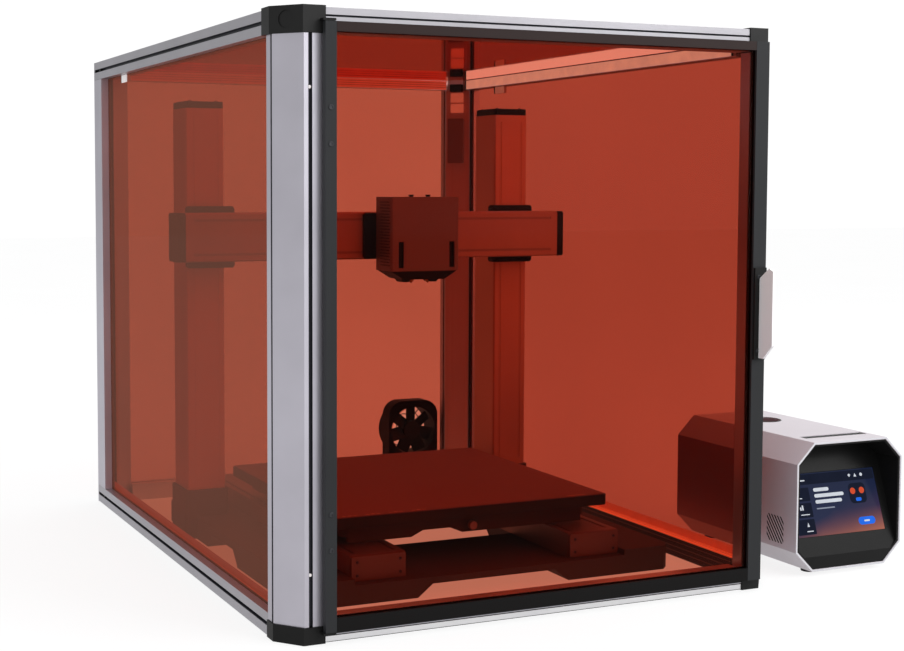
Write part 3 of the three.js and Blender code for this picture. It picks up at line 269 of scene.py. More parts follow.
def print_sheet_look():
    look = Look("print_sheet_grain", (0.05, 0.03, 0.028), 0.75)
    look.set("Specular IOR Level", 0.2)
    speck = look.noise(5200, 2)
    look.vary_colour(look.spread(speck, 0, 1), (0.19, 0.11, 0.098), (0.42, 0.26, 0.235))
    look.vary_roughness(look.noise(12, 4), 0.68, 0.85)
    look.bump(speck, 0.4, 0.0001)
    return look.mat


# The lit screen: a night-blue picture with a warm glow rising from the lower right.
def screen_look():
    look = Look("screen_glass", (0.003, 0.003, 0.004), 0.12)
    look.set("Specular IOR Level", 0.06)
    low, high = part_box("touch_screen")
    place = look.add("ShaderNodeMapping")
    place.vector_type = "TEXTURE"
    place.inputs["Location"].default_value = low
    place.inputs["Scale"].default_value = high - low
    look.link(look.coords, place.inputs["Vector"])
    split = look.add("ShaderNodeSeparateXYZ")
    look.link(place.outputs[0], split.inputs[0])
    across, up = split.outputs[0], split.outputs[2]
    waves = look.noise(14, 2)
    ripple = look.math("MULTIPLY", waves, 0.30)
    slope = look.math("ADD", look.math("MULTIPLY", across, 0.55), ripple)
    glow = look.spread(look.math("SUBTRACT", slope, up), 0, 1, 0.0, 0.72)
    rise = look.spread(up, 0, 1, 0.02, 0.4)
    warm = look.blend(rise, (0.38, 0.12, 0.075), (0.06, 0.03, 0.07))
    rise = look.spread(up, 0, 1, 0.2, 1.0)
    night = look.blend(rise, (0.017, 0.023, 0.062), (0.008, 0.014, 0.042))
    picture = look.blend(glow, night, warm)
    look.link(picture, look.shader.inputs["Emission Color"])
    look.set("Emission Strength", 1.0)
    return look.mat


SILVER = (0.62, 0.60, 0.67)
# The rails are the posts' anodised extrusion: this darker silver is painted shade, and the
# near-white below is painted light.
RAIL_SILVER = (0.50, 0.49, 0.53)
PAINTED_LIT_SILVER = (0.96, 0.95, 0.98)
BLACK = (0.007, 0.007, 0.007)

post_metal = extrusion("post_metal", SILVER, 0.34, "z")
# The side rails, the top front rail and the front bottom rail take darker and lighter copies of the
# post metal: painted shade and painted light.
side_rail_metal = extrusion("side_rail_metal", RAIL_SILVER, 0.36, "y")
front_rail_metal = extrusion("front_rail_metal", PAINTED_LIT_SILVER, 0.34, "x")
top_front_metal = extrusion("top_front_metal", (0.42, 0.41, 0.44), 0.4, "x", 0.6)
# The handle is silver metal: this near-white non-metal copy is painted light.
handle_painted_light = extrusion("handle_painted_light", (0.98, 0.96, 1.0), 0.5, "z", 0.0)
# The modules are silver metal: their warm colours are painted orange light from the sheets, and the
# Y modules' darker colour is painted shade.
module_x = extrusion("module_x", (0.56, 0.36, 0.29), 0.42, "x", 0.7)
# Painted shade: the cover bands are darker copies of the module metal, for shade in the slots.
band_x_painted_shade = extrusion("band_x_painted_shade", (0.40, 0.28, 0.24), 0.42, "x", 0.7)
module_y = extrusion("module_y", (0.30, 0.20, 0.17), 0.42, "y", 0.6)
module_z = extrusion("module_z", (0.68, 0.37, 0.25), 0.4, "z", 0.7)
# The left column is the same metal as the right one: this lighter, non-metal copy is painted light.
module_left_painted_light = extrusion("module_left_painted_light", (1.0, 0.70, 0.54), 0.45, "z", 0.0)
band_z_painted_shade = extrusion("band_z_painted_shade", (0.60, 0.32, 0.21), 0.4, "z", 0.7)
# The end blocks' warm tint is painted orange light from the sheets.
module_end_metal = blasted("module_end_metal", (0.20, 0.125, 0.11), 0.55, 0.3)
rim_metal = extrusion("rim_metal", (0.80, 0.80, 0.84), 0.3, "x", 0.6)
trim = extrusion("trim", (0.024, 0.025, 0.027), 0.48, "z", 0.1, 0.2)
# The door's top and bottom rails are the same black trim as the stiles: the darker copy is painted
# shade and the reddish copy is painted warm light.
trim_bottom = extrusion("trim_bottom", (0.005, 0.0045, 0.0045), 0.5, "x", 0.0, 0.12)
trim_top = extrusion("trim_top", (0.022, 0.011, 0.010), 0.5, "x", 0.0, 0.2)
black = moulded("black", BLACK, 0.5, specular=0.22)
cap_black = moulded("cap_black", (0.009, 0.009, 0.009), 0.5, 900, 0.3, specular=0.3)
casting = moulded("casting", (0.080, 0.056, 0.052), 0.6, 900, 0.35, specular=0.25)
bed_metal = moulded("bed_metal", (0.030, 0.025, 0.024), 0.55, 1600, 0.1, 0.3, 0.25)
tool_metal = blasted("tool_metal", (0.30, 0.25, 0.25), 0.45, 0.6)
case_metal = blasted("case_metal", (0.70, 0.66, 0.70), 0.46, 0.55)
bezel_black = moulded("bezel_black", (0.009, 0.009, 0.009), 0.36, 2200, 0.05, specular=0.14)
box_shell = moulded("box_shell", (0.24, 0.14, 0.125), 0.55, 1400, 0.2, specular=0.25)
rubber = moulded("rubber", (0.011, 0.011, 0.011), 0.7, 1900, 0.3)
# Painted shade: the slot linings' dark colour stands for shade deep in the slots.
slot_painted_shade = moulded("slot_painted_shade", (0.030, 0.030, 0.040), 0.55, 1500, 0.1)
# Painted light: the pale clips and set screws glow though they are no lamps.
pale_painted_glow = glowing("pale_painted_glow", (0.74, 0.70, 0.69), 0.40)
tick_paint = moulded("tick_paint", (0.42, 0.30, 0.26), 0.6, 2000, 0.1)
tick_orange = moulded("tick_orange", (0.85, 0.50, 0.38), 0.6, 2000, 0.1)
brass = turned_metal("nozzle_brass", (0.62, 0.40, 0.16), 0.3)
steel = turned_metal("screw_steel", (0.22, 0.22, 0.23), 0.38, 3000)
dark_steel = turned_metal("dark_steel", (0.06, 0.06, 0.065), 0.45, 3000)
light_bar = glowing("light_bar_diffuser", (0.72, 0.92, 1.0), 1.0, mirrored=(1.25, 3.6, 6.0))
edge_glow = glowing("lit_edge", (1.0, 0.30, 0.14), 0.75)
# Painted light: the rear rail strip glows in place of the light that falls on it.
rear_painted_glow = glowing("rear_strip_painted_light", (0.85, 0.28, 0.17), 0.40)
# Painted light: the lips on the sheets glow in place of the light that falls on them.
lip_painted_glow = glowing("lip_painted_light", (0.62, 0.17, 0.09), 0.55)
# Painted light: the sockets glow though they are no lamps.
socket_painted_light = glowing("socket_painted_glow", (0.62, 0.34, 0.27), 0.75)
# The cap screws' warm tint is painted orange light from the sheets.
stud_metal = extrusion("stud_metal", (0.50, 0.36, 0.31), 0.45, "z", 0.3)
liner_metal = extrusion("liner_metal", (0.62, 0.40, 0.36), 0.5, "z", 0.0)
# Painted shade: this near-black fills the vent slots' openings.
vent_painted_shade = moulded("vent_painted_shade", (0.002, 0.002, 0.002), 0.8, 1500, 0.1, specular=0.0)
ui_white = glowing("ui_white", (0.80, 0.84, 0.92), 0.8, lit=False)
ui_grey = glowing("ui_grey", (0.30, 0.33, 0.42), 0.9, lit=False)
ui_dark = glowing("ui_dark", (0.009, 0.012, 0.026), 1.0, lit=False)
ui_blue = glowing("ui_blue", (0.02, 0.15, 0.80), 1.0, lit=False)
ui_orange = glowing("ui_orange", (0.65, 0.08, 0.03), 1.0, lit=False)
sheet_grain = print_sheet_look()
screen = screen_look()
button_red = moulded("button_plastic", (0.035, 0.003, 0.006), 0.6, 900, 0.05, 0.2, 0.05)

LOOKS = {
    "bezel": bezel_black,
    "black_plastic": black,
    "dark_casting": casting,
    "bed_plate": bed_metal,
    "print_surface": sheet_grain,
    "tool_shell": tool_metal,
    "brass": brass,
    "controller_shell": case_metal,
    "screen": screen,
    "button_red": button_red,
    "anodised_frame": post_metal,
    "bright_rail": front_rail_metal,
    "door_trim": trim,
    "module_shell": module_z,
}
SPECIAL = {
    "top_rail_left": side_rail_metal,
    "top_rail_right": side_rail_metal,
    "bottom_rail_left": side_rail_metal,
    "bottom_rail_right": side_rail_metal,
    "top_corner_cap_left": cap_black,
    "top_corner_cap_right": cap_black,
    "top_rail_front": top_front_metal,
    "x_module": module_x,
    "z_column_left": module_left_painted_light,
    "y_module_left": module_y,
    "y_module_right": module_y,
    "door_handle": handle_painted_light,
    "lower_hinge_bracket": black,
    "upper_hinge_bracket": black,
    "door_top_rail": trim_top,
    "door_bottom_rail": trim_bottom,
    # The five sheets are one orange acrylic: their different tints, and the haze on the left sheet
    # alone, are painted light and shade, set to how each sheet looks in its place.
    "door_panel": acrylic("door_panel_sheet", (0.58, 0.170, 0.104)),
    "left_panel": acrylic("left_panel_sheet", (0.35, 0.082, 0.044), haze=0.17),
    "right_panel": acrylic("right_panel_sheet", (0.60, 0.250, 0.200)),
    "rear_panel": acrylic("rear_panel_sheet", (0.72, 0.420, 0.360)),
    "top_panel": acrylic("top_panel_sheet", (0.48, 0.090, 0.045), 0.05, 0.12, 1.6),
}


def soften_edges(piece, width):
    bevel = piece.modifiers.new("edge", "BEVEL")
    bevel.width = width
    bevel.segments = 2
    bevel.limit_method = "ANGLE"
    bevel.angle_limit = math.radians(40)


for subpart in frame["record"]["subparts"]:
    node = NODES[subpart["node"]]
    node.data.materials.clear()
    node.data.materials.append(SPECIAL.get(subpart["node"]) or LOOKS[subpart["material_slot"]])
    soften_edges(node, 0.0006)


# ---------- mesh building ----------


class Build:
    """Collects swept and turned shapes in one mesh, in millimetres from the enclosure's corner."""

    def __init__(self):
        self.mesh = bmesh.new()

    # The rings at both ends of an outline in (u, v) that is pushed along a third direction.
    def ends(self, outline, start, u, v, length):
        rings = []
        for shift in (Vector(), u.cross(v).normalized() * length):
            points = [Vector(start) + u * a + v * b + shift for a, b in outline]
            rings.append([self.mesh.verts.new(at(*p)) for p in points])
        return rings

    def sweep(self, outline, start, u, v, length):
        first, last = self.ends(outline, start, u, v, length)
        self.mesh.faces.new(first)
        self.mesh.faces.new(last)
        self.stitch(first, last)

    def stitch(self, first, second):
        for i in range(len(first)):
            j = (i + 1) % len(first)
            self.mesh.faces.new((first[i], first[j], second[j], second[i]))

    # A profile of (radius, height) turned about an axis. The rings listed in hexed are six-sided.
    def turn(self, profile, centre, axis, sides=24, hexed=()):
        axis = axis.normalized()
        u = axis.orthogonal().normalized()
        v = axis.cross(u)
        last = None
        for index, (radius, height) in enumerate(profile):
            middle = Vector(centre) + axis * height
            if radius == 0:
                tip = self.mesh.verts.new(at(*middle))
                if last:
                    self.fan(last, tip)
                last = tip
                continue
            ring = []
            for k in range(sides):
                angle = 2 * math.pi * k / sides
                r = radius
                if index in hexed:
                    r = radius / math.cos(angle % (math.pi / 3) - math.pi / 6)
                point = middle + u * (r * math.cos(angle)) + v * (r * math.sin(angle))
                ring.append(self.mesh.verts.new(at(*point)))
            if isinstance(last, list):
                self.stitch(last, ring)
            elif last:
                self.fan(ring, last)
            last = ring

    def fan(self, ring, tip):
        for i in range(len(ring)):
            self.mesh.faces.new((ring[i], ring[(i + 1) % len(ring)], tip))

    # A band between two outlines with the same number of points.
    def band(self, outer, inner, start, u, v, length):
        loops = self.ends(outer, start, u, v, length) + self.ends(inner, start, u, v, length)
        for first, second in ((0, 1), (1, 3), (3, 2), (2, 0)):
            self.stitch(loops[first], loops[second])

    def make(self, name, look, body="enclosure", edge=0.0002, smooth=False):
        bmesh.ops.recalc_face_normals(self.mesh, faces=self.mesh.faces)
        mesh = bpy.data.meshes.new(name)
        self.mesh.to_mesh(mesh)
        self.mesh.free()
        mesh.materials.append(look)
        piece = bpy.data.objects.new(name, mesh)
        bpy.context.scene.collection.objects.link(piece)
        if edge:
            soften_edges(piece, edge)
        if smooth:
            for face in mesh.polygons:
                face.use_smooth = True
            mesh.set_sharp_from_angle(angle=math.radians(35))
        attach(piece, body)
        return piece


def rectangle(u0, v0, u1, v1):
    return [(u0, v0), (u1, v0), (u1, v1), (u0, v1)]


def rounded(u0, v0, u1, v1, radius, steps=4):
    corners = ((u1 - radius, v0 + radius, -90), (u1 - radius, v1 - radius, 0))
    corners += ((u0 + radius, v1 - radius, 90), (u0 + radius, v0 + radius, 180))
    points = []
    for u, v, start in corners:
        for k in range(steps + 1):
            angle = math.radians(start + 90 * k / steps)
            points.append((u + radius * math.cos(angle), v + radius * math.sin(angle)))
    return points


def eight_sided(u0, v0, u1, v1, cut):
    return [
        (u0 + cut, v0),
        (u1 - cut, v0),
        (u1, v0 + cut),
        (u1, v1 - cut),
        (u1 - cut, v1),
        (u0 + cut, v1),
        (u0, v1 - cut),
        (u0, v0 + cut),
    ]


# A U-shaped lining: its lips lie just inside the slot's mouth at v = 0, and it reaches into the
# slot by its depth.
def channel(width, depth):
    wall = 0.4
    h = width / 2 - 0.05
    return [
        (-h, 0.6),
        (-h + wall, 0.6),
        (-h + wall, depth - wall),
        (h - wall, depth - wall),
        (h - wall, 0.6),
        (h, 0.6),
        (h, depth - 0.05),
        (-h, depth - 0.05),
    ]


# A socket-head screw with a six-sided recess, its underside at the given point.
def screw(build, place, axis, radius, height):
    lip = radius * 0.15
    socket = radius * 0.5
    profile = [
        (0, -0.2),
        (radius, -0.2),
        (radius, height - lip),
        (radius - lip, height),
        (socket, height),
        (socket, height * 0.35),
        (0, height * 0.35),
    ]
    build.turn(profile, place, axis, hexed=(4, 5))


# ---------- enclosure detail ----------

SLOT = 5
SLOT_DEPTH = 5
POST_FRONT_SLOT = 35
POST_SIDE_SLOT = 36.5
CROSS_SLOT = 2.5
CROSS_SLOT_INSET = 9.5
POST_CHAMFER = 33


# Dark linings in the frame's slots: painted shade in the slots' depth.
def slot_painted_shade_linings():
    width = span("top_corner_cap_right")[1].x - 3
    build = Build()
    low, high = span("post_front_left")
    length = high.z - low.z
    for x in (POST_FRONT_SLOT, width - POST_FRONT_SLOT):
        build.sweep(channel(SLOT, SLOT_DEPTH), (x, 0, low.z), X, Y, length)
    build.sweep(channel(SLOT, SLOT_DEPTH), (0, POST_SIDE_SLOT, high.z), Y, X, length)
    build.sweep(channel(SLOT, SLOT_DEPTH), (width, POST_SIDE_SLOT, low.z), Y, -X, length)
    for level in ("top", "bottom"):
        low, high = span(f"{level}_rail_left")
        middle = (low.z + high.z) / 2
        length = high.y - low.y
        build.sweep(channel(SLOT, SLOT_DEPTH), (0, low.y, middle), Z, X, length)
        build.sweep(channel(SLOT, SLOT_DEPTH), (width, high.y, middle), Z, -X, length)
        for side in ("front", "rear"):
            low, high = span(f"{level}_rail_{side}")
            z = high.z - CROSS_SLOT_INSET if level == "top" else low.z + CROSS_SLOT_INSET
            length = high.x - low.x
            if side == "front":
                build.sweep(channel(CROSS_SLOT, SLOT_DEPTH), (high.x, low.y, z), Z, Y, length)
            else:
                build.sweep(channel(CROSS_SLOT, SLOT_DEPTH), (low.x, high.y, z), Z, -Y, length)
    build.make("slot_painted_shade_linings", slot_painted_shade, edge=0)


# Two dark seals and the bright lip between them, where the door meets the front bottom rail,
# and a dark strip of painted shadow along the foot of that rail.
def sill_lines():
    low, high = span("bottom_rail_front")
    dark = Build()
    lip = Build()
    for build, z0, z1 in ((dark, 0.05, 0.55), (dark, 7.2, 8.3), (lip, 8.4, 9.5), (dark, 9.6, 10.9)):
        line = rectangle(low.z + z0, 0.02, low.z + z1, 0.35)
        build.sweep(line, (low.x, low.y, 0), Z, -Y, high.x - low.x)
    dark.make("sill_seals_and_painted_shadow", rubber, edge=0)
    lip.make("sill_lip", side_rail_metal, edge=0)


# Black plugs in the open slots at the rear ends of the side rails.
def slot_plugs():
    build = Build()
    plug = rounded(-2.2, -3.5, 2.2, 0.3, 0.8, 3)
    for side in ("left", "right"):
        for level in ("top", "bottom"):
            low, high = span(f"{level}_rail_{side}")
            middle = (low.z + high.z) / 2
            for back in (0, 34):
                place = Vector((low.x if side == "left" else high.x, high.y - 8 - back, middle))
                inward = X if side == "left" else -X
                length = 7 if side == "left" else -7
                build.sweep([(a, -b) for a, b in plug], place, Z, inward, length)
    build.make("slot_end_plugs", black)


# Set screws that stand in the front slots of the posts near each end. Their brightness is a painted
# glow.
def slot_screws():
    build = Build()
    profile = [(0, -0.6), (1.5, -0.6), (2.0, 0), (2.0, 1.6), (0, 2.4)]
    low, high = span("post_front_left")
    right = span("post_front_right")[1].x
    for x in (POST_FRONT_SLOT, right - POST_FRONT_SLOT):
        for z in (low.z + 62, high.z - 62):
            build.turn(profile, (x, SLOT_DEPTH - 1.2, z), -Y, 16)
    build.make("slot_set_screws", pale_painted_glow, smooth=True)


def hinge_stile_screws():
    low, high = span("door_hinge_stile")
    x = (low.x + high.x) / 2
    build = Build()
    for z in (high.z - 99, high.z - 141.5, low.z + 141, low.z + 98):
        screw(build, (x, low.y, z), -Y, 3.3, 1.0)
    build.make("hinge_stile_screws", dark_steel, "door", edge=0)


def handle_screws():
    low, high = span("door_handle_base")
    build = Build()
    for z in (low.z + 12, high.z - 12):
        screw(build, (low.x + 6, low.y, z), -Y, 2.8, 1.0)
    build.make("handle_screws", dark_steel, "door", edge=0)


# Pale clips that hold the side panels under the top rails near the rear corners, one on each
# side of the sheet, with a black end. Their glow is painted light.
def panel_clips():
    pale = Build()
    dark = Build()
    for side in ("left", "right"):
        low, high = span(f"{side}_panel")
        top = span(f"top_rail_{side}")[0].z
        y = high.y - 129
        for x in (low.x - 1.3, high.x + 0.1):
            pale.sweep(rounded(0, -12.5, 32, -0.5, 2), (x, y, top), Y, Z, 1.2)
            dark.sweep(rounded(32.2, -12.5, 36, -0.5, 1), (x, y, top), Y, Z, 1.2)
    pale.make("panel_clips", pale_painted_glow)
    dark.make("panel_clip_ends", black)


# A light bar along the inner face of each top side rail, with a black cap at both ends.
def light_bars():
    bars = Build()
    caps = Build()
    for side, facing in (("left", X), ("right", -X)):
        low, high = span(f"top_rail_{side}")
        x = high.x if side == "left" else low.x
        front, back = low.y + 10, high.y - 50
        section = [(low.z + 0.4, 0.1), (low.z + 16, 0.1), (low.z + 16, 0.7), (low.z + 0.4, 0.9)]
        pieces = ((bars, front, back), (caps, front - 4, front), (caps, back, back + 4))
        for build, start, stop in pieces:
            place = (x, start if side == "left" else stop, 0)
            build.sweep(section, place, Z, facing, stop - start)
    bars.make("light_bars", light_bar, edge=0)
    caps.make("light_bar_caps", black, edge=0)


# The strips that close the bottom side rails inside the panels. They are the brightest things
# inside in the photograph, and a glow stands in for the light that falls on them.
def edge_strips():
    strips = Build()
    grooves = Build()
    ridges = Build()
    lips = Build()
    for side in ("left", "right"):
        low, high = span(f"bottom_rail_{side}")
        panel_low, panel_high = span(f"{side}_panel")
        x0, x1 = (panel_high.x + 1, high.x) if side == "left" else (low.x, panel_low.x - 1)
        start, length = panel_low.y + 5, panel_high.y - panel_low.y - 10
        strip = rectangle(x0, high.z + 0.1, x1, high.z + 1.6)
        strips.sweep(strip, (0, start + length, 0), X, Z, length)
        for share in (0.36, 0.7):
            x = x0 + (x1 - x0) * share
            z = high.z + 1.62
            line = rectangle(x, z - 0.2, x + 0.7, z + 0.1)
            grooves.sweep(line, (0, start + length, 0), X, Z, length)
        inner, facing = (high.x, X) if side == "left" else (low.x, -X)
        place = (inner, start if side == "left" else start + length, 0)
        # A dark cover over the rail's whole inner face, in the casting colour: painted shade.
        grooves.sweep(rectangle(low.z + 1, 0.05, high.z - 0.5, 0.5), place, Z, facing, length)
        for z in (low.z + 8, low.z + 15, low.z + 22):
            ridges.sweep(rectangle(z, 0.4, z + 1.2, 0.9), place, Z, facing, length)
        sheet = panel_high.x if side == "left" else panel_low.x
        place = (sheet, place[1], 0)
        # A lip along the sheet's inner side; its glow is painted light.
        lip = [(high.z + 1.8, 0.1), (high.z + 13, 0.1), (high.z + 12.6, 0.5), (high.z + 1.8, 0.8)]
        lips.sweep(lip, place, Z, facing, length)
    strips.make("bottom_edge_strips", edge_glow, edge=0)
    grooves.make("bottom_edge_grooves_and_painted_shade", casting, edge=0)
    ridges.make("bottom_rail_ridges", box_shell, edge=0)
    lips.make("bottom_panel_lips", lip_painted_glow, edge=0)


# A strip with fine lines along the lower half of the rear top rail's inner face. Its glow is
# painted light, standing in for the light that falls on it.
def rear_rail_strip():
    low, high = span("top_rail_rear")
    strip = Build()
    lines = Build()
    z0, z1 = low.z + 0.4, low.z + 16
    place, length = (low.x + 4, low.y, 0), high.x - low.x - 8
    strip.sweep(rectangle(z0, 0.1, z1, 0.7), place, Z, -Y, length)
    for k in range(1, 4):
        z = z0 + (z1 - z0) * k / 4
        lines.sweep(rectangle(z, 0.6, z + 0.7, 0.85), place, Z, -Y, length)
    strip.make("rear_rail_strip", rear_painted_glow, edge=0)
    lines.make("rear_rail_lines", casting, edge=0)


# Thin gaskets between the panels and the rear posts' inner faces.
def panel_gaskets():
    build = Build()
    for side in ("left", "right"):
        low, high = span(f"{side}_panel")
        post = span(f"post_rear_{side}")[0].y
        x0, x1 = (high.x + 0.4, high.x + 3.6) if side == "left" else (low.x - 3.6, low.x - 0.4)
        outline = rectangle(x0, post - 1.5, x1, post - 0.1)
        build.sweep(outline, (0, 0, low.z + 5), X, Y, high.z - low.z - 10)
    build.make("panel_gaskets", rubber, edge=0)


# A small control box on the plain diagonal face of the rear right post, with two pale sockets
# and a cable clamp above it. The sockets' glow is painted light.
def chamber_box():
    low = span("post_rear_right")[0]
    middle = Vector((low.x + POST_CHAMFER / 2, low.y + POST_CHAMFER / 2, 0))
    u = Vector((1, -1, 0)).normalized()
    out = Vector((-1, -1, 0)).normalized()
    top = span("top_rail_rear")[0].z

    def plate(build, u0, z0, u1, z1, depth, lift=0.05):
        start = middle + out * (depth + lift)
        build.sweep(eight_sided(u0, z0, u1, z1, 1.2), start, u, Z, depth)

    liner = Build()
    plate(liner, -22, 31, 22, top - 1, 0.25)
    for u0 in (-16, 9):
        plate(liner, u0, 31, u0 + 7, top - 1, 0.5, 0.25)
    liner.make("post_liner", liner_metal, edge=0)
    box = Build()
    plate(box, -15, 586, 15, 668, 7)
    plate(box, -11, 594, 11, 660, 1.2, 7)
    for z in (590, 664):
        screw(box, middle + Z * z + out * 7, out, 1.6, 0.9)
    box.make("chamber_control_box", box_shell)
    clamp = Build()
    plate(clamp, -12, top - 4, 12, top + 10, 6)
    clamp.make("chamber_cable_clamp", black)
    sockets = Build()
    plate(sockets, -12, top - 23, 12, top - 6, 3)
    plate(sockets, -12, top - 42, 12, top - 26, 3)
    sockets.make("chamber_sockets", socket_painted_light)
    marks = Build()
    ring = [(0, 0), (5.5, 0), (5.5, 0.5), (3.6, 0.5), (3.4, 0.2), (0, 0.2)]
    marks.turn(ring, middle + Z * (top - 14.5) + out * 3.1, out, 20)
    for z in (top - 31, top - 35.5, top - 40):
        plate(marks, -8, z, 8, z + 2.2, 0.4, 3.1)
    marks.make("chamber_socket_holes", box_shell, edge=0)


# ---------- exhaust fan detail ----------


def fan_guard():
    low, high = span("exhaust_fan_housing")
    rotor = [sum(pair) / 2 for pair in zip(*span("fan_rotor"))]
    centre = (rotor[0], high.y - 1.4, rotor[2])
    corners = [a * math.pi / 4 for a in range(9)]
    build = Build()
    for radius in (14, 25, 36):
        wire = [(radius + 0.9 * math.cos(a), 0.9 * math.sin(a)) for a in corners]
        build.turn(wire, centre, Y, 48)
    for k in range(4):
        angle = math.pi / 4 + k * math.pi / 2
        u = Vector((math.cos(angle), 0, math.sin(angle)))
        w = u.cross(Y)
        length = -32 if w.cross(Y).dot(u) < 0 else 32
        build.sweep(rectangle(-0.8, -0.8, 0.8, 0.8), Vector(centre) + u * 13, w, Y, length)
    build.make("fan_guard", black, smooth=True, edge=0)
    screws = Build()
    for x in (low.x + 8, high.x - 8):
        for z in (low.z + 8, high.z - 14):
            screw(screws, (x, high.y - 18, z), Y, 3.2, 1.4)
    screws.make("fan_housing_screws", steel, edge=0)


# ---------- machine detail ----------


# End blocks on the front of the Y modules, with four screws each.
def module_ends():
    blocks = Build()
    screws = Build()
    for side in ("left", "right"):
        low, high = span(f"y_module_{side}")
        outline = eight_sided(low.x + 1, low.z + 0.5, high.x - 1, high.z - 0.5, 1.5)
        blocks.sweep(outline, (0, low.y - 0.1, 0), X, Z, 5)
        for x in (low.x + 9, high.x - 9):
            for z in (low.z + 8, high.z - 8):
                screw(screws, (x, low.y - 5.1, z), -Y, 2.0, 0.9)
    blocks.make("y_module_end_blocks", module_end_metal)
    screws.make("y_module_end_screws", dark_steel, edge=0)


def column_screws():
    build = Build()
    for side in ("left", "right"):
        low, high = span(f"column_cap_{side}")
        for x in (low.x + 9, high.x - 9):
            for y in (low.y + 9, high.y - 9):
                screw(build, (x, y, high.z), Z, 3.0, 2.2)
    build.make("column_cap_screws", stud_metal, edge=0)


# Cover bands that lie in the two long slots of the X module and of the columns. Their darker
# copies of the module metal are painted shade in the slots; the left column's bands take the
# left column's lighter copy, which is painted light.
def cover_bands():
    low, high = span("x_module")
    across = Build()
    for z in (low.z + 9, high.z - 13):
        band = rectangle(z + 0.2, 0.4, z + 3.8, 2.6)
        across.sweep(band, (high.x - 13, low.y, 0), Z, Y, high.x - low.x - 26)
    across.make("x_cover_bands", band_x_painted_shade, "gantry", edge=0)
    for side, look in (("left", module_left_painted_light), ("right", band_z_painted_shade)):
        upright = Build()
        low, high = span(f"z_column_{side}")
        for x in (low.x + 9, high.x - 13):
            band = rectangle(x + 0.2, 0.4, x + 3.8, 2.6)
            upright.sweep(band, (0, low.y, low.z + 13), X, Y, high.z - low.z - 26)
        upright.make(f"column_cover_bands_{side}", look, edge=0)


# Thumb screw on the front skirt of the bed platform.
def platform_knob():
    low, high = span("bed_platform")
    place = ((low.x + high.x) / 2 + 3, low.y, low.z + 12)
    profile = [(0, 0), (3.4, 0), (3.4, 3), (6, 3.4), (6.2, 10), (5.6, 11), (0, 11)]
    build = Build()
    build.turn(profile, place, -Y, 20)
    build.make("platform_knob", tick_paint, "bed", smooth=True, edge=0)


# Plain alignment ticks near the front edge of the print sheet.
def bed_ticks():
    low, high = span("print_sheet")
    build = Build()
    for k in range(4):
        x = low.x + 14 + 34 * k
        for j in range(3):
            outline = rounded(x + 8 * j, low.y + 5, x + 8 * j + 5.5, low.y + 7 + (j % 2), 0.9, 3)
            build.sweep(outline, (0, 0, high.z - 0.02), X, Y, 0.12)
    outline = rounded(high.x - 60, low.y + 5, high.x - 30, low.y + 7, 0.9, 3)
    build.sweep(outline, (0, 0, high.z - 0.02), X, Y, 0.12)
    build.make("bed_ticks", tick_orange, "bed", edge=0)


# Round perforations over the left and right sides of the tool head's cover.
def cover_perforations():
    low, high = span("toolhead_cover")
    build = Build()
    pitch = 4.6
    eye = [(0, 0.02), (1.25, 0.02), (1.25, 0.16), (1.05, 0.22), (0.9, 0.08), (0, 0.08)]
    for x, out in ((low.x, -X), (high.x, X)):
        for row in range(22):
            shift = pitch / 2 if row % 2 else 0
            for column in range(8):
                y = low.y + 6 + shift + pitch * column
                z = low.z + 9 + pitch * row
                if y < high.y - 3 and z < high.z - 6:
                    build.turn(eye, (x, y, z), out, 8)
    build.make("cover_perforations", black, "tool_head", edge=0)


# Two flared filament inlets on top of the tool head, over the nozzles.
def filament_inlets():
    top = span("toolhead_cover")[1].z
    funnel = [(3.2, 1.2), (4.6, 2.6), (4.6, 3.4), (2.4, 3.4), (2.0, 1.0)]
    profile = [(0, 0.1), (3.2, 0.1), *funnel, (0, 1.0)]
    build = Build()
    for side in ("left", "right"):
        low, high = span(f"nozzle_{side}")
        place = ((low.x + high.x) / 2, (low.y + high.y) / 2, top)
        build.turn(profile, place, Z, 24)
    build.make("filament_inlets", black, "tool_head", smooth=True, edge=0)


# Sloping air guides on the duct's underside, in front of and behind the nozzles.
def duct_facets():
    low, high = span("toolhead_duct")
    build = Build()
    for u0, u1 in ((low.x + 22, low.x + 40), (high.x - 40, high.x - 22)):
        section = [(u0, 0), (u1, 0), (u1 - 4, -5), (u0 + 4, -5)]
        build.sweep(section, (0, high.y - 12, low.z + 0.1), X, Z, 24)
    build.make("duct_air_guides", black, "tool_head")


# ---------- controller detail ----------

CASE_CUT = 29
VENT_WINDOW = (47, 84, 42, 80)
VENTS = 9
VENT_PITCH = 6.4
SCREEN_LEAN = math.atan2(29, 84)
TOP_LENS = (806.6, 54.6, 915.4, 69.4)
INLET_MIDDLE = 848
PIN_PITCH = 7


def case_outline(low, high, inset):
    cut = CASE_CUT - inset * (2 - math.sqrt(2))
    return eight_sided(low.x + inset, low.z + inset, high.x - inset, high.z - inset, cut)


# A thin machined rim round the open front of the controller.
def controller_rim():
    low, high = span("controller_shell")
    low = Vector((low.x, low.y, 6))
    outer, inner = (case_outline(low, high, inset) for inset in (0.3, 2.2))
    build = Build()
    build.band(outer, inner, (0, low.y - 0.35, 0), X, Z, -0.3)
    build.make("controller_rim", rim_metal, edge=0)


# A black lens with slats in the recess on top of the controller.
def controller_top_slot():
    top = span("controller_shell")[1].z
    x0, y0, x1, y1 = TOP_LENS
    build = Build()
    build.sweep(rounded(x0, y0, x1, y1, 1.5), (0, 0, top - 1.95), X, Y, 1.2)
    for k in range(13):
        x = x0 + 4 + k * 8
        build.sweep(rounded(x, y0 + 2, x + 3.2, y1 - 2, 0.9, 3), (0, 0, top - 0.8), X, Y, 0.5)
    build.make("controller_top_slot", bezel_black, edge=0.0001)


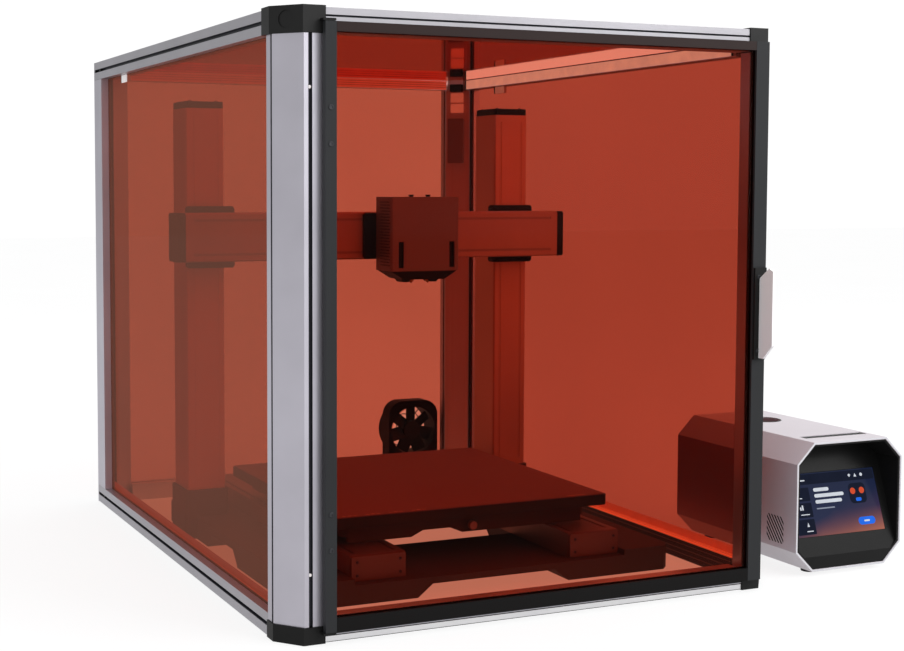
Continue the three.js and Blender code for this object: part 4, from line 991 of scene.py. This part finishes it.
# Rubber sleeves round the controller's four feet.
def controller_feet():
    low, high = span("controller_shell")
    sleeve = [(9.05, 0.1), (9.8, 0.3), (10.2, 1.4), (10.2, 4.2), (9.05, 4.6), (9.05, 0.1)]
    build = Build()
    for x in (low.x + 45, high.x - 45):
        for y in (low.y + 28, high.y - 28):
            build.turn(sleeve, (x, y, 0), Z, 32)
    build.make("controller_feet_sleeves", rubber, smooth=True, edge=0)


# The part of a convex outline on one side of a line across u.
def clip(outline, limit, sign):
    kept = []
    for (u0, v0), (u1, v1) in zip(outline, outline[1:] + outline[:1]):
        inside0, inside1 = (u0 - limit) * sign >= 0, (u1 - limit) * sign >= 0
        if inside0:
            kept.append((u0, v0))
        if inside0 != inside1:
            share = (limit - u0) / (u1 - u0)
            kept.append((limit, v0 + (v1 - v0) * share))
    return kept


# A dark baffle behind the vent slots, and black slats that fill the slots to just below the
# shell's face. The slats' near-black is painted shade in the openings.
def vent_baffle():
    face = span("controller_shell")[0].x
    outline = [(43, 0), (43, -3), (44, -3), (44, -1), (87, -1), (87, -3), (88, -3), (88, 0)]
    build = Build()
    build.sweep([(y, -v + 0.1) for y, v in outline], (face + 3.1, 0, 38), Y, X, -46)
    build.make("vent_baffle", black)
    slats = Build()
    tilt = math.radians(38)
    y0, y1, z0, z1 = VENT_WINDOW
    for k in range(VENTS):
        middle = (y0 + y1) / 2 + (k - (VENTS - 1) / 2) * VENT_PITCH
        shape = []
        for a, z in rectangle(-1.25, z0, 1.25, z1):
            y = middle + a / math.cos(tilt) + (z - (z0 + z1) / 2) * math.tan(tilt)
            shape.append((y, z))
        shape = clip(clip(shape, y0 + 0.05, 1), y1 - 0.05, -1)
        if len(shape) > 2:
            slats.sweep(shape, (face + 0.25, 0, 0), Y, Z, 2.2)
    slats.make("vent_slot_painted_shade", vent_painted_shade, edge=0)


# Three pins in the mains inlet, the middle one higher.
def inlet_pins():
    back = span("controller_rear_plate")[1].y
    build = Build()
    for k in (-1, 0, 1):
        x = INLET_MIDDLE + PIN_PITCH * k
        z = 52 if k == 0 else 48
        build.sweep(eight_sided(x - 1, z - 2, x + 1, z + 2, 0.5), (0, back - 14, 0), X, Z, -11)
    build.make("inlet_pins", steel)


# Raised ring round the stop button.
def button_collar():
    low, high = span("stop_button")
    radius = (high.x - low.x) / 2
    shell_top = span("controller_shell")[1].z
    steps = ((0.9, 0), (3, 0), (2.8, 0.5), (1.2, 0.6), (0.9, 0))
    profile = [(radius + out, height) for out, height in steps]
    build = Build()
    build.turn(profile, ((low.x + high.x) / 2, (low.y + high.y) / 2, shell_top), Z, 56)
    build.make("stop_button_collar", bezel_black, smooth=True, edge=0)


# The picture on the touch screen: plain shapes, a hair above the glass, with no letters.
def screen_picture():
    low, high = span("touch_screen")
    up = Vector((0, math.sin(SCREEN_LEAN), math.cos(SCREEN_LEAN)))
    out = Vector((0, -math.cos(SCREEN_LEAN), math.sin(SCREEN_LEAN)))
    foot = Vector((low.x, low.y, low.z + 2 * math.sin(SCREEN_LEAN)))

    thickness = 0.1 if X.cross(up).dot(out) > 0 else -0.1

    def marks(name, look, lift, *outlines):
        build = Build()
        for outline in outlines:
            build.sweep(outline, foot + out * lift, X, up, thickness)
        build.make(name, look, edge=0)

    def disc(u, v, r, n=24):
        angles = [2 * math.pi * k / n for k in range(n)]
        return [(u + r * math.cos(a), v + r * math.sin(a)) for a in angles]

    def bar(u, v, width, height):
        return rounded(u, v, u + width, v + height, height * 0.45, 3)

    menu = [rounded(1.5, v0, 33, v1, 1.5) for v0, v1 in ((50, 69), (27, 47.5), (3, 24.5))]
    marks("screen_side_menu", ui_dark, 0.03, *menu)
    header = rounded(1.5, 73, high.x - low.x - 1.5, 87.5, 1.5)
    marks("screen_header", ui_dark, 0.03, header)
    lines = ((5, 78, 24, 1.8), (7, 53.5, 12, 1.3), (12, 30.5, 15, 1.3), (17, 7, 11, 1.3))
    marks("screen_captions", ui_white, 0.16, *(bar(*line) for line in lines))
    columns = [rounded(12, 37.5, 14.5, 42, 0.5, 2), rounded(15.5, 37.5, 18, 44.5, 0.5, 2)]
    arrow = [(19, 14), (23, 14), (21, 20)]
    marks("screen_menu_icons", ui_white, 0.16, disc(11, 62, 2.6), *columns, arrow)
    kite = [(106.5, 81), (109, 78), (111.5, 81), (109, 83)]
    wedge = [(117, 78), (122, 78), (119.5, 83)]
    marks("screen_status_icons", ui_white, 0.16, kite, wedge, disc(130.5, 80.5, 2.4))
    titles = ((41, 62, 27, 5), (41, 53.5, 52, 5), (41, 45, 47, 5))
    marks("screen_title_bars", ui_white, 0.16, *(bar(*title) for title in titles))
    marks("screen_subtitle", ui_grey, 0.16, bar(41, 37, 32, 1.8))
    marks("screen_art_dark", ui_dark, 0.10, rounded(103, 40, 133, 69, 7, 6))
    marks("screen_art_rings", ui_orange, 0.22, disc(110, 58, 4.6), disc(126, 58, 4.6))
    marks("screen_art_core", ui_blue, 0.24, rounded(113, 43, 123, 48, 2.2))
    marks("screen_button", ui_blue, 0.16, rounded(110, 9, 140, 20, 5.4, 8))
    marks("screen_button_mark", ui_white, 0.28, bar(120, 13.2, 10, 2.4))


slot_painted_shade_linings()
sill_lines()
slot_plugs()
slot_screws()
hinge_stile_screws()
handle_screws()
panel_clips()
light_bars()
chamber_box()
edge_strips()
rear_rail_strip()
panel_gaskets()
fan_guard()
module_ends()
column_screws()
cover_bands()
platform_knob()
bed_ticks()
cover_perforations()
filament_inlets()
duct_facets()
controller_rim()
controller_top_slot()
controller_feet()
vent_baffle()
inlet_pins()
button_collar()
screen_picture()


# ---------- stage, light and camera ----------

FLOOR_SEEN = 0.82
FLOOR_LIGHT = 0.48
FLOOR_HALF = 14
SKY_TOWARDS = (0.80, -0.60, 0.0)
SKY_RANGE = (-0.9, 0.9, 0.45, 1.22)
SKY_SEEN = 1.03
CAMERA_TURN = (23.774, 3.717, 0.092)
CAMERA_PLACE = (-608.86, -1655.93, 542.65)
CAMERA_LENS = 60.70
CAMERA_SHIFT = (0.0822, -0.0444)


# A white floor. It looks lighter to the camera than the light that it gives to the machine.
def floor():
    look = Look("floor_paint", (0.20, 0.20, 0.20), 0.9)
    cloud = look.spread(look.noise(2, 3), 0, 1)
    look.vary_colour(cloud, (0.195, 0.195, 0.197), (0.205, 0.205, 0.207))
    look.set("Specular IOR Level", 0.0)
    look.set("Emission Color", (1, 1, 1, 1))
    direct = look.add("ShaderNodeLightPath").outputs["Is Camera Ray"]
    seen = look.math("MULTIPLY_ADD", direct, FLOOR_SEEN - FLOOR_LIGHT, FLOOR_LIGHT)
    look.link(seen, look.shader.inputs["Emission Strength"])
    mesh = bpy.data.meshes.new("floor")
    corners = rectangle(-FLOOR_HALF, -FLOOR_HALF, FLOOR_HALF, FLOOR_HALF)
    mesh.from_pydata([(x, y, 0) for x, y in corners], [], [(0, 1, 2, 3)])
    mesh.materials.append(look.mat)
    plane = bpy.data.objects.new("floor", mesh)
    bpy.context.scene.collection.objects.link(plane)
    plane.location.z = -0.0005


# Seen directly the studio is white. As a light it is darker on the left than at the front right.
def sky():
    world = bpy.data.worlds.new("studio")
    bpy.context.scene.world = world
    world.use_nodes = True
    tree = world.node_tree
    tree.nodes.clear()
    out = tree.nodes.new("ShaderNodeOutputWorld")
    direction = tree.nodes.new("ShaderNodeTexCoord").outputs["Generated"]
    dot = tree.nodes.new("ShaderNodeVectorMath")
    dot.operation = "DOT_PRODUCT"
    dot.inputs[1].default_value = SKY_TOWARDS
    tree.links.new(direction, dot.inputs[0])
    power = tree.nodes.new("ShaderNodeMapRange")
    tree.links.new(dot.outputs["Value"], power.inputs["Value"])
    for key, number in zip(RANGE_ENDS, SKY_RANGE):
        power.inputs[key].default_value = number
    path = tree.nodes.new("ShaderNodeLightPath")
    choose = tree.nodes.new("ShaderNodeMix")
    tree.links.new(path.outputs["Is Camera Ray"], choose.inputs["Factor"])
    tree.links.new(power.outputs[0], choose.inputs["A"])
    choose.inputs["B"].default_value = SKY_SEEN
    back = tree.nodes.new("ShaderNodeBackground")
    back.inputs["Color"].default_value = (1, 1, 1, 1)
    tree.links.new(choose.outputs[0], back.inputs["Strength"])
    tree.links.new(back.outputs[0], out.inputs["Surface"])


def softbox(name, place, target, size, power):
    data = bpy.data.lights.new(name, "AREA")
    data.shape = "RECTANGLE"
    data.size, data.size_y = size
    data.energy = power
    lamp = bpy.data.objects.new(name, data)
    bpy.context.scene.collection.objects.link(lamp)
    lamp.location = place
    lamp.rotation_euler = (Vector(target) - Vector(place)).to_track_quat("-Z", "Y").to_euler()


def camera():
    yaw, pitch, roll = (math.radians(angle) for angle in CAMERA_TURN)
    right = Vector((math.cos(yaw), -math.sin(yaw), 0))
    level = math.cos(pitch)
    ahead = Vector((math.sin(yaw) * level, math.cos(yaw) * level, -math.sin(pitch)))
    up = right.cross(ahead)
    across = right * math.cos(roll) + up * math.sin(roll)
    above = up * math.cos(roll) - right * math.sin(roll)
    data = bpy.data.cameras.new("camera")
    data.sensor_width = 36
    data.lens = CAMERA_LENS
    data.shift_x, data.shift_y = CAMERA_SHIFT
    data.clip_end = 60
    view = bpy.data.objects.new("camera", data)
    bpy.context.scene.collection.objects.link(view)
    turn = Matrix((across, above, -ahead)).transposed()
    view.matrix_world = Matrix.Translation(at(*CAMERA_PLACE)) @ turn.to_4x4()
    bpy.context.scene.camera = view


camera()
floor()
sky()
softbox("key", (2.2, -3.0, 2.6), (0, 0, 0.35), (2.4, 2.4), 75)
softbox("overhead", (0, 0, 3.2), (0, 0, 0), (3.0, 3.0), 30)
bpy.context.scene.view_settings.view_transform = "Standard"
bpy.context.scene.cycles.transparent_max_bounces = 16
